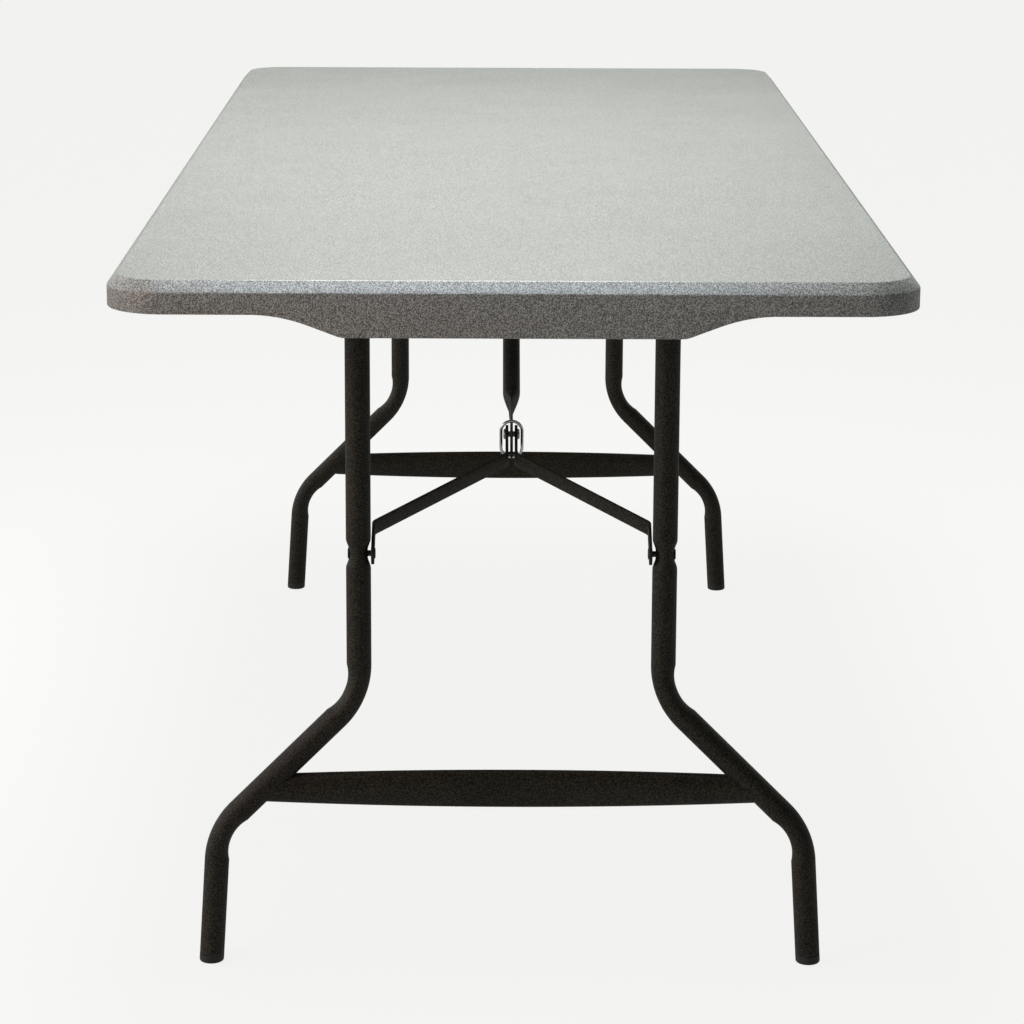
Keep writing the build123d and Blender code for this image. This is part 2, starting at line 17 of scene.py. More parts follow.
import bpy
from mathutils import Matrix, Vector
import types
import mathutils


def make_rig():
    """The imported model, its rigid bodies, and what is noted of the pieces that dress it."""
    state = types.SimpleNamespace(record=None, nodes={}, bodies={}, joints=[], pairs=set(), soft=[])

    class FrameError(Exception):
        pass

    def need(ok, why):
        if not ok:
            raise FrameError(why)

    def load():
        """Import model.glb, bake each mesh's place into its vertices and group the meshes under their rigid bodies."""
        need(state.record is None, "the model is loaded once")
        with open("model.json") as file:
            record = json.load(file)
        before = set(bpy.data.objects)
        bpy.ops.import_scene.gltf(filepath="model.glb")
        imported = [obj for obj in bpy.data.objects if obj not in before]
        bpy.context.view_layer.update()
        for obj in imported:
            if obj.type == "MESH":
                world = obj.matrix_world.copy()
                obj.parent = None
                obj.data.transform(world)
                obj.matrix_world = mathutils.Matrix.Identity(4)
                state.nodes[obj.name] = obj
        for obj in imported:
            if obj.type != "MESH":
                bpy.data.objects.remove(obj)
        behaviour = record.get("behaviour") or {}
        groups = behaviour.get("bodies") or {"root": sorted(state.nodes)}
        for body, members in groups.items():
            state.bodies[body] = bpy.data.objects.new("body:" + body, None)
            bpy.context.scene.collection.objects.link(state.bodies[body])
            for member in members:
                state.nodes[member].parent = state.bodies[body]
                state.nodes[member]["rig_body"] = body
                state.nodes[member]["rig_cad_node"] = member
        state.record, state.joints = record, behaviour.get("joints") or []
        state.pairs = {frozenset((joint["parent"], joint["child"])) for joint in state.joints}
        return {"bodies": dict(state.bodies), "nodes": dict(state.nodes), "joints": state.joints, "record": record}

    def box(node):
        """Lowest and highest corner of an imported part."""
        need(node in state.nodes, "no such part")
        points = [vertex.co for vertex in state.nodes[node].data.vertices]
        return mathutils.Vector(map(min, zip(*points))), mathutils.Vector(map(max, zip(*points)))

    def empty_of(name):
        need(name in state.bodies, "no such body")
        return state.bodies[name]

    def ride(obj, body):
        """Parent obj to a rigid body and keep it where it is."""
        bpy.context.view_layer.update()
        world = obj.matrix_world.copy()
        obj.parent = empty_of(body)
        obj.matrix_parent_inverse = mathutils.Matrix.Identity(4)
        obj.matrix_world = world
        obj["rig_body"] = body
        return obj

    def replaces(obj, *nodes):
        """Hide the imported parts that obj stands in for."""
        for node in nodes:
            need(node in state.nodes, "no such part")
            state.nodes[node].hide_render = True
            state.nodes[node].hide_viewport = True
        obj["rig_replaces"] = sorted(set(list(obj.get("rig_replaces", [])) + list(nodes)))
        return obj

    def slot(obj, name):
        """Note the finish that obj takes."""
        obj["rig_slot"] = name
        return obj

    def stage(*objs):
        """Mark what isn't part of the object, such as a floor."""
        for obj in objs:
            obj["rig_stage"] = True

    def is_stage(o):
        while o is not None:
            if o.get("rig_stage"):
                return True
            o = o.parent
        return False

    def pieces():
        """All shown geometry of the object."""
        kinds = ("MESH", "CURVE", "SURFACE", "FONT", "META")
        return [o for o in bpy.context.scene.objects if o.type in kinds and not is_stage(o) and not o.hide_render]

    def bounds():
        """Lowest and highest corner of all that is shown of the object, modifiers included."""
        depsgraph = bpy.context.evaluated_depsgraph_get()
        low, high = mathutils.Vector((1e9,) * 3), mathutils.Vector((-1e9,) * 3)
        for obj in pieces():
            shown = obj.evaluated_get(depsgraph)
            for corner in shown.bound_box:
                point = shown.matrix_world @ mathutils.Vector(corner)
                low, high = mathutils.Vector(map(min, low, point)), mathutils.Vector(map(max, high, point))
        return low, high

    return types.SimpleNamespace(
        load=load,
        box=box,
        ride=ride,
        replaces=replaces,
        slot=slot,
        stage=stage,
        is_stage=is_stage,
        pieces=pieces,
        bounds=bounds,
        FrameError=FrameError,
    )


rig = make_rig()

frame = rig.load()

LOG = logging.getLogger("folding_table")
LOG.setLevel(logging.INFO)
if not LOG.handlers:
    LOG.addHandler(logging.StreamHandler(sys.stdout))

MM = 0.001
JOINTS = {joint["name"]: joint for joint in frame["joints"]}
SIZE_FILE = "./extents.json"


# ---------------------------------------------------------------------------
# Named options
# ---------------------------------------------------------------------------


class End(Enum):
    """The two ends of the table, with the side of the middle that each is on."""

    FRONT = ("front", -1)
    REAR = ("rear", 1)

    @property
    def label(self) -> str:
        """The word that starts the names of this end's pieces."""
        return self.value[0]

    @property
    def sign(self) -> int:
        """-1 for the end at low Y and 1 for the end at high Y."""
        return self.value[1]


class Side(Enum):
    """The two sides of the table."""

    LEFT = ("left", -1)
    RIGHT = ("right", 1)

    @property
    def label(self) -> str:
        """The word that names this side's pieces."""
        return self.value[0]

    @property
    def sign(self) -> int:
        """-1 for the left side and 1 for the right side."""
        return self.value[1]


class Element(Enum):
    """The kind of mesh element that a selection picks."""

    VERT = "VERT"
    FACE = "FACE"


# ---------------------------------------------------------------------------
# Bench work: selection, edit mode and modifiers
# ---------------------------------------------------------------------------


def deselect_everything() -> None:
    """Leaves no object selected."""
    bpy.ops.object.select_all(action="DESELECT")


def make_active(piece: bpy.types.Object) -> None:
    """Selects one object alone and makes it active.

    Args:
        piece: The object to work on.
    """
    deselect_everything()
    piece.select_set(True)
    bpy.context.view_layer.objects.active = piece


@contextmanager
def editing(piece: bpy.types.Object) -> Iterator[None]:
    """Edit mode on one object, for the length of a with block.

    Args:
        piece: The mesh object to edit.
    """
    make_active(piece)
    bpy.ops.object.mode_set(mode="EDIT")
    try:
        yield
    finally:
        bpy.ops.object.mode_set(mode="OBJECT")


def element_centre(mesh: bpy.types.Mesh, element: Element, index: int) -> Vector:
    """The middle of a vertex or a face.

    Args:
        mesh: The mesh that holds it.
        element: Which kind it is.
        index: Its index among its kind.

    Returns:
        The point, in the object's own coordinates.
    """
    if element is Element.VERT:
        return mesh.vertices[index].co.copy()
    return mesh.polygons[index].center.copy()


def pick(piece: bpy.types.Object, element: Element, test: Callable[[Vector], bool]) -> int:
    """Selects, in edit mode, every element whose middle passes a test.

    Args:
        piece: The mesh object, already in edit mode.
        element: The kind of element to select.
        test: Says whether a middle point is wanted.

    Returns:
        How many elements were selected.
    """
    bpy.ops.mesh.select_mode(type=element.value)
    bpy.ops.mesh.select_all(action="DESELECT")
    bpy.ops.object.mode_set(mode="OBJECT")
    mesh = piece.data
    items = mesh.vertices if element is Element.VERT else mesh.polygons
    count = 0
    for index, item in enumerate(items):
        if test(element_centre(mesh, element, index)):
            item.select = True
            count += 1
    bpy.ops.object.mode_set(mode="EDIT")
    return count


def add_modifier(piece: bpy.types.Object, kind: str, **settings: object) -> None:
    """Adds a modifier with its settings and applies it at once.

    Args:
        piece: The mesh object.
        kind: Blender's name for the modifier type.
        **settings: Values for the modifier's own properties.
    """
    make_active(piece)
    modifier = piece.modifiers.new(kind.title(), kind)
    for name, value in settings.items():
        setattr(modifier, name, value)
    bpy.ops.object.modifier_apply(modifier=modifier.name)


def paint_group(
    piece: bpy.types.Object, name: str, weight: Callable[[Vector], float]
) -> None:
    """Fills a vertex group with weights worked out from each vertex's place.

    Args:
        piece: The mesh object.
        name: The group's name.
        weight: Gives 0 to 1 for a point.
    """
    group = piece.vertex_groups.new(name=name)
    for vertex in piece.data.vertices:
        value = weight(vertex.co)
        if value > 0.0:
            group.add([vertex.index], min(value, 1.0), "REPLACE")


def press_in(piece: bpy.types.Object, depth: float, weight: Callable[[Vector], float]) -> None:
    """Pushes a surface in along its normals where a weight says so.

    Args:
        piece: The mesh object.
        depth: How far a weight of 1 goes in, in metres.
        weight: Gives 0 to 1 for a point.
    """
    paint_group(piece, "pressed", weight)
    add_modifier(
        piece, "DISPLACE", strength=-depth, mid_level=0.0, direction="NORMAL", vertex_group="pressed"
    )
    piece.vertex_groups.clear()


def close_and_orient(piece: bpy.types.Object, gap: float = 1e-6) -> None:
    """Merges doubled vertices and turns every face outwards.

    Args:
        piece: The mesh object.
        gap: Vertices closer than this become one.
    """
    with editing(piece):
        bpy.ops.mesh.select_all(action="SELECT")
        bpy.ops.mesh.remove_doubles(threshold=gap)
        bpy.ops.mesh.normals_make_consistent(inside=False)


def fix_place(piece: bpy.types.Object) -> None:
    """Moves an object's place, turn and scale into its mesh."""
    make_active(piece)
    bpy.ops.object.transform_apply(location=True, rotation=True, scale=True)


def smooth(piece: bpy.types.Object, degrees: float = 32.0) -> None:
    """Smooth shading, kept sharp at edges over an angle.

    Args:
        piece: The mesh object.
        degrees: The angle past which an edge stays sharp.
    """
    make_active(piece)
    bpy.ops.object.shade_smooth_by_angle(angle=math.radians(degrees))


def mirrored(piece: bpy.types.Object, name: str, across: Vector) -> bpy.types.Object:
    """A mirror-image copy with its own mesh.

    Args:
        piece: The finished object to copy.
        name: The copy's name.
        across: 1 or -1 for each axis; -1 mirrors along that axis.

    Returns:
        The copy, at the origin and facing outwards.
    """
    copy = piece.copy()
    copy.data = piece.data.copy()
    copy.name = name
    copy.data.name = name
    bpy.context.scene.collection.objects.link(copy)
    copy.scale = across
    fix_place(copy)
    close_and_orient(copy)
    return copy


def take_primitive(name: str) -> bpy.types.Object:
    """Names the primitive that was just added.

    Args:
        name: The name for the object and its mesh.

    Returns:
        The object.
    """
    piece = bpy.context.active_object
    piece.name = name
    piece.data.name = name
    return piece


# ---------------------------------------------------------------------------
# Shader helpers
# ---------------------------------------------------------------------------


class NodeSheet:
    """A node tree with short ways to add nodes and join them."""

    def __init__(self, tree: bpy.types.NodeTree) -> None:
        """Starts on a tree.

        Args:
            tree: The material's or the group's node tree.
        """
        self.tree = tree
        self.count = 0

    def add(self, kind: str, settings: Optional[dict] = None, **inputs: object) -> bpy.types.Node:
        """Adds a node.

        Args:
            kind: The node's Blender type name.
            settings: Values for the node's properties.
            **inputs: Socket values or output sockets, by socket name with _ for space.

        Returns:
            The new node.
        """
        node = self.tree.nodes.new(kind)
        node.location = (220 * (self.count % 8), -260 * (self.count // 8))
        self.count += 1
        for name, value in (settings or {}).items():
            setattr(node, name, value)
        for name, value in inputs.items():
            self.feed(node.inputs[name.replace("_", " ")], value)
        return node

    def feed(self, socket: bpy.types.NodeSocket, value: object) -> None:
        """Joins an output to a socket, or sets the socket's own value.

        Args:
            socket: The input socket.
            value: An output socket, or a number, colour or vector.
        """
        if isinstance(value, bpy.types.NodeSocket):
            self.tree.links.new(value, socket)
        else:
            socket.default_value = value

    def math(self, operation: str, first: object, second: object = 0.0, clamp: bool = False) -> object:
        """A math node.

        Args:
            operation: What it works out.
            first: First number or socket.
            second: Second number or socket.
            clamp: Whether the result is kept to 0 to 1.

        Returns:
            The result's socket.
        """
        node = self.add("ShaderNodeMath", {"operation": operation, "use_clamp": clamp})
        self.feed(node.inputs[0], first)
        self.feed(node.inputs[1], second)
        return node.outputs[0]

    def mix(self, factor: object, first: object, second: object, blend: str = "MIX") -> object:
        """A colour mix.

        Args:
            factor: How much of the second colour.
            first: First colour or socket.
            second: Second colour or socket.
            blend: The blend type.

        Returns:
            The mixed colour's socket.
        """
        node = self.add("ShaderNodeMix", {"data_type": "RGBA", "blend_type": blend})
        self.feed(node.inputs["Factor"], factor)
        self.feed(node.inputs[6], first)
        self.feed(node.inputs[7], second)
        return node.outputs[2]

    def ramp(self, value: object, low: float, high: float) -> object:
        """A value stretched from low..high to 0..1 and kept there.

        Args:
            value: The number's socket.
            low: What becomes 0.
            high: What becomes 1.

        Returns:
            The stretched value's socket.
        """
        node = self.add("ShaderNodeMapRange", {"clamp": True, "interpolation_type": "SMOOTHSTEP"})
        self.feed(node.inputs["Value"], value)
        self.feed(node.inputs["From Min"], low)
        self.feed(node.inputs["From Max"], high)
        return node.outputs[0]

    def noise(self, place: object, scale: object, detail: float = 2.0, rough: float = 0.5) -> object:
        """A noise texture.

        Args:
            place: The coordinates' socket.
            scale: Cycles per metre.
            detail: Octaves.
            rough: How strong the small octaves are.

        Returns:
            The noise value's socket.
        """
        node = self.add("ShaderNodeTexNoise", {"noise_dimensions": "3D"})
        self.feed(node.inputs["Vector"], place)
        self.feed(node.inputs["Scale"], scale)
        self.feed(node.inputs["Detail"], detail)
        self.feed(node.inputs["Roughness"], rough)
        return node.outputs["Fac"]


def new_group(name: str, inputs: dict[str, tuple[str, object]], outputs: dict[str, str]) -> NodeSheet:
    """Starts a shader node group with named sockets.

    Args:
        name: The group's name.
        inputs: Socket name to its type and default value.
        outputs: Socket name to its type.

    Returns:
        The sheet of the group's tree, with its input and output nodes added.
    """
    tree = bpy.data.node_groups.new(name, "ShaderNodeTree")
    for label, (kind, default) in inputs.items():
        socket = tree.interface.new_socket(label, in_out="INPUT", socket_type=kind)
        if default is not None:
            socket.default_value = default
    for label, kind in outputs.items():
        tree.interface.new_socket(label, in_out="OUTPUT", socket_type=kind)
    return NodeSheet(tree)


FLOAT = "NodeSocketFloat"
VECTOR = "NodeSocketVector"
COLOUR = "NodeSocketColor"


def grain_group() -> bpy.types.NodeTree:
    """Fine pebbled grain, as on moulded plastic and textured powder coat.

    Returns:
        A group with a fleck mask and a height, at a chosen number of grains per metre.
    """
    sheet = new_group(
        "surface_grain",
        {"Place": (VECTOR, None), "Grains": (FLOAT, 900.0), "Softness": (FLOAT, 0.5)},
        {"Fleck": FLOAT, "Height": FLOAT},
    )
    start = sheet.add("NodeGroupInput")
    skewed = sheet.add("ShaderNodeMapping", Vector=start.outputs["Place"], Rotation=(0.5, 0.8, 0.3))
    place = skewed.outputs["Vector"]
    cells = sheet.add("ShaderNodeTexVoronoi", {"feature": "SMOOTH_F1"})
    sheet.feed(cells.inputs["Vector"], place)
    sheet.feed(cells.inputs["Scale"], start.outputs["Grains"])
    sheet.feed(cells.inputs["Smoothness"], start.outputs["Softness"])
    pebble = sheet.math("SUBTRACT", 1.0, cells.outputs["Distance"])
    coarse = sheet.noise(place, sheet.math("MULTIPLY", start.outputs["Grains"], 0.65))
    speck = sheet.noise(place, sheet.math("MULTIPLY", start.outputs["Grains"], 1.1), 1.0)
    height = sheet.math("ADD", pebble, sheet.math("MULTIPLY", coarse, 0.8))
    fleck = sheet.math("ADD", sheet.math("MULTIPLY", speck, 0.6), sheet.math("MULTIPLY", coarse, 0.4))
    end = sheet.add("NodeGroupOutput")
    sheet.feed(end.inputs["Fleck"], sheet.ramp(fleck, 0.44, 0.60))
    sheet.feed(end.inputs["Height"], height)
    return sheet.tree


def mottle_group() -> bpy.types.NodeTree:
    """Slow, soft variation over a surface, as in handled and stored things.

    Returns:
        A group with one mask of large soft patches.
    """
    sheet = new_group(
        "slow_mottle",
        {"Place": (VECTOR, None), "Patches": (FLOAT, 6.0)},
        {"Mask": FLOAT},
    )
    start = sheet.add("NodeGroupInput")
    patches = sheet.noise(start.outputs["Place"], start.outputs["Patches"], 4.0, 0.55)
    end = sheet.add("NodeGroupOutput")
    sheet.feed(end.inputs["Mask"], sheet.ramp(patches, 0.35, 0.68))
    return sheet.tree


def dust_group() -> bpy.types.NodeTree:
    """Thin dust that lies on upward faces.

    Returns:
        A group with one mask, strongest on faces that look up.
    """
    sheet = new_group(
        "settled_dust",
        {"Place": (VECTOR, None), "Amount": (FLOAT, 0.2)},
        {"Mask": FLOAT},
    )
    start = sheet.add("NodeGroupInput")
    facing = sheet.add("ShaderNodeNewGeometry")
    split = sheet.add("ShaderNodeSeparateXYZ")
    sheet.feed(split.inputs[0], facing.outputs["Normal"])
    up = sheet.ramp(split.outputs["Z"], 0.25, 1.0)
    patch = sheet.noise(start.outputs["Place"], 22.0, 5.0, 0.7)
    lay = sheet.math("MULTIPLY", up, sheet.ramp(patch, 0.3, 0.75))
    end = sheet.add("NodeGroupOutput")
    sheet.feed(end.inputs["Mask"], sheet.math("MULTIPLY", lay, start.outputs["Amount"], True))
    return sheet.tree


def wear_group() -> bpy.types.NodeTree:
    """Rubbing along outside edges, broken up by noise.

    Returns:
        A group with one mask, strongest on convex edges.
    """
    sheet = new_group(
        "edge_wear",
        {"Place": (VECTOR, None), "Amount": (FLOAT, 0.5)},
        {"Mask": FLOAT},
    )
    start = sheet.add("NodeGroupInput")
    shape = sheet.add("ShaderNodeNewGeometry")
    edge = sheet.ramp(shape.outputs["Pointiness"], 0.52, 0.62)
    patch = sheet.noise(start.outputs["Place"], 130.0, 4.0, 0.7)
    worn = sheet.math("MULTIPLY", edge, sheet.ramp(patch, 0.42, 0.66))
    end = sheet.add("NodeGroupOutput")
    sheet.feed(end.inputs["Mask"], sheet.math("MULTIPLY", worn, start.outputs["Amount"], True))
    return sheet.tree


class EffectShelf:
    """The shader groups that the finishes share, each built once."""

    def __init__(self) -> None:
        """Builds every group."""
        self.grain = grain_group()
        self.mottle = mottle_group()
        self.dust = dust_group()
        self.wear = wear_group()

    @staticmethod
    def place(sheet: NodeSheet, tree: bpy.types.NodeTree, **inputs: object) -> bpy.types.Node:
        """Puts a group into a material.

        Args:
            sheet: The material's sheet.
            tree: The group to place.
            **inputs: Values or sockets for its inputs.

        Returns:
            The group node.
        """
        node = sheet.add("ShaderNodeGroup", {"node_tree": tree})
        for name, value in inputs.items():
            sheet.feed(node.inputs[name], value)
        return node


@dataclass(frozen=True)
class Finish:
    """One surface finish, and how it becomes a material.

    Attributes:
        name: The material's name.
        slot: The record's material slot that it stands for.
        colour: Base colour, linear.
        fleck: Colour of the flecks in the grain, linear.
        worn: Colour where an edge is rubbed, linear.
        rough: Roughness of clean, smooth surface.
        metallic: 0 for plastic and paint, 1 for bare metal.
        grains: Grains per metre.
        relief: Height of the grain, in metres.
        fleck_share: How strongly the flecks colour the surface.
        patches: Slow patches per metre.
        patch_share: How much the patches darken the surface.
        dust: How much dust lies on upward faces.
        wear: How much the edges are rubbed.
        shine: Strength of the reflection of paint or plastic.
    """

    name: str
    slot: str
    colour: tuple[float, float, float]
    fleck: tuple[float, float, float]
    worn: tuple[float, float, float]
    rough: float
    metallic: float = 0.0
    grains: float = 900.0
    relief: float = 0.00006
    fleck_share: float = 0.3
    patches: float = 5.0
    patch_share: float = 0.1
    dust: float = 0.0
    wear: float = 0.0
    shine: float = 0.5

    def material(self, shelf: EffectShelf) -> bpy.types.Material:
        """Builds the finish's material.

        Args:
            shelf: The shared effect groups.

        Returns:
            The node material.
        """
        made = bpy.data.materials.new(self.name)
        made.use_nodes = True
        made.diffuse_color = (*self.colour, 1.0)
        made.node_tree.nodes.clear()
        sheet = NodeSheet(made.node_tree)
        place = sheet.add("ShaderNodeTexCoord").outputs["Object"]
        grain = shelf.place(sheet, shelf.grain, Place=place, Grains=self.grains)
        mottle = shelf.place(sheet, shelf.mottle, Place=place, Patches=self.patches)
        flecks = sheet.math("MULTIPLY", grain.outputs["Fleck"], self.fleck_share)
        colour = sheet.mix(flecks, (*self.colour, 1.0), (*self.fleck, 1.0))
        shade = sheet.math("MULTIPLY", mottle.outputs["Mask"], self.patch_share)
        colour = sheet.mix(shade, colour, tuple(c * 0.55 for c in self.colour) + (1.0,))
        rough = sheet.math("ADD", sheet.math("MULTIPLY", mottle.outputs["Mask"], 0.08), self.rough - 0.04)
        if self.wear > 0.0:
            worn = shelf.place(sheet, shelf.wear, Place=place, Amount=self.wear).outputs["Mask"]
            colour = sheet.mix(worn, colour, (*self.worn, 1.0))
        if self.dust > 0.0:
            dust = shelf.place(sheet, shelf.dust, Place=place, Amount=self.dust).outputs["Mask"]
            colour = sheet.mix(dust, colour, (0.62, 0.6, 0.56, 1.0))
            rough = sheet.math("ADD", rough, sheet.math("MULTIPLY", dust, 0.4), True)
        bump = sheet.add("ShaderNodeBump")
        sheet.feed(bump.inputs["Height"], grain.outputs["Height"])
        bump.inputs["Strength"].default_value = 1.0
        bump.inputs["Distance"].default_value = self.relief
        shader = sheet.add("ShaderNodeBsdfPrincipled")
        sheet.feed(shader.inputs["Base Color"], colour)
        sheet.feed(shader.inputs["Roughness"], rough)
        sheet.feed(shader.inputs["Normal"], bump.outputs["Normal"])
        shader.inputs["Metallic"].default_value = self.metallic
        shader.inputs["Specular IOR Level"].default_value = self.shine
        out = sheet.add("ShaderNodeOutputMaterial")
        sheet.feed(out.inputs["Surface"], shader.outputs["BSDF"])
        return made


MOULDED_TOP = Finish(
    name="moulded_grey_plastic",
    slot="top_plastic",
    colour=(0.125, 0.129, 0.119),
    fleck=(0.66, 0.665, 0.64),
    worn=(0.45, 0.45, 0.44),
    rough=0.34,
    grains=1000.0,
    relief=0.00007,
    fleck_share=0.8,
    patches=3.0,
    patch_share=0.06,
    dust=0.03,
)
POWDER_COAT = Finish(
    name="bronze_powder_coat",
    slot="frame_powder_coat",
    colour=(0.0012, 0.0011, 0.0006),
    fleck=(0.068, 0.060, 0.036),
    worn=(0.12, 0.11, 0.09),
    rough=0.55,
    grains=900.0,
    relief=0.00012,
    fleck_share=0.9,
    patches=9.0,
    patch_share=0.2,
    dust=0.04,
    wear=0.25,
    shine=0.3,
)
RAIL_PAINT = Finish(
    name="dark_rail_paint",
    slot="rail_steel",
    colour=(0.030, 0.027, 0.024),
    fleck=(0.07, 0.062, 0.05),
    worn=(0.2, 0.19, 0.18),
    rough=0.46,
    grains=850.0,
    relief=0.00008,
    patches=4.0,
    patch_share=0.25,
    dust=0.1,
    wear=0.3,
)
BRACKET_PAINT = Finish(
    name="dark_bracket_paint",
    slot="bracket_steel",
    colour=(0.032, 0.029, 0.026),
    fleck=(0.07, 0.062, 0.052),
    worn=(0.3, 0.29, 0.27),
    rough=0.42,
    grains=1000.0,
    relief=0.00007,
    patches=30.0,
    patch_share=0.2,
    dust=0.1,
    wear=0.6,
)
RIVET_PAINT = Finish(
    name="painted_rivet",
    slot="dark_rivet",
    colour=(0.03, 0.027, 0.023),
    fleck=(0.07, 0.06, 0.05),
    worn=(0.34, 0.32, 0.3),
    rough=0.4,
    grains=1200.0,
    relief=0.00005,
    patches=60.0,
    wear=0.7,
)
ZINC = Finish(
    name="zinc_plate",
    slot="zinc_fastener",
    colour=(0.52, 0.52, 0.50),
    fleck=(0.66, 0.66, 0.63),
    worn=(0.8, 0.8, 0.8),
    rough=0.34,
    metallic=1.0,
    grains=2200.0,
    relief=0.00002,
    patches=120.0,
    patch_share=0.35,
)
CHROME = Finish(
    name="bright_chrome",
    slot="ring_chrome",
    colour=(0.78, 0.79, 0.80),
    fleck=(0.85, 0.85, 0.86),
    worn=(0.9, 0.9, 0.9),
    rough=0.12,
    metallic=1.0,
    grains=1500.0,
    relief=0.000004,
    fleck_share=0.1,
    patches=90.0,
    patch_share=0.12,
)
CLIP_PLASTIC = Finish(
    name="black_clip_plastic",
    slot="clip_plastic",
    colour=(0.045, 0.045, 0.047),
    fleck=(0.08, 0.08, 0.08),
    worn=(0.14, 0.14, 0.14),
    rough=0.42,
    grains=1400.0,
    relief=0.00004,
    patches=40.0,
    patch_share=0.2,
    dust=0.1,
    wear=0.4,
)
FOOT_PLASTIC = Finish(
    name="black_foot_plastic",
    slot="foot_plastic",
    colour=(0.020, 0.019, 0.018),
    fleck=(0.05, 0.047, 0.043),
    worn=(0.12, 0.115, 0.11),
    rough=0.5,
    grains=1300.0,
    relief=0.00005,
    patches=60.0,
    patch_share=0.3,
    wear=0.5,
)
FINISHES = (
    MOULDED_TOP,
    POWDER_COAT,
    RAIL_PAINT,
    BRACKET_PAINT,
    RIVET_PAINT,
    ZINC,
    CHROME,
    CLIP_PLASTIC,
    FOOT_PLASTIC,
)


class Paintshop:
    """Dresses pieces in finishes and puts them on their bodies."""

    def __init__(self) -> None:
        """Builds the shared groups and every material."""
        self.shelf = EffectShelf()
        self.materials = {item.slot: item.material(self.shelf) for item in FINISHES}
        self.slot_of_node = {
            part["node"]: part["material_slot"] for part in frame["record"]["subparts"]
        }
        self.body_of_node = {
            node: body for body, nodes in frame["record"]["behaviour"]["bodies"].items() for node in nodes
        }

    def coat(self, piece: bpy.types.Object, slot: str) -> None:
        """Gives every face of a piece one finish.

        Args:
            piece: The object to dress.
            slot: The record's material slot.
        """
        piece.data.materials.clear()
        piece.data.materials.append(self.materials[slot])

    def dress_frame(self) -> None:
        """Gives every node of the frame the finish of its slot."""
        for name, node in frame["nodes"].items():
            material = self.materials[self.slot_of_node[name]]
            if not node.data.materials:
                node.data.materials.append(material)
            for index in range(len(node.data.materials)):
                node.data.materials[index] = material

    def hand_over(self, piece: bpy.types.Object, *nodes: str) -> bpy.types.Object:
        """Dresses a finished piece, puts it on its body and stands it for its nodes.

        Args:
            piece: The finished object, at the origin.
            *nodes: The frame's nodes that it replaces; the first gives its body and slot.

        Returns:
            The same object.
        """
        slot = self.slot_of_node[nodes[0]]
        self.coat(piece, slot)
        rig.ride(piece, self.body_of_node[nodes[0]])
        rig.slot(piece, slot)
        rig.replaces(piece, *nodes)
        LOG.info("%-34s %6d faces, for %s", piece.name, len(piece.data.polygons), ", ".join(nodes))
        return piece


# ---------------------------------------------------------------------------
# The moulded top
# ---------------------------------------------------------------------------


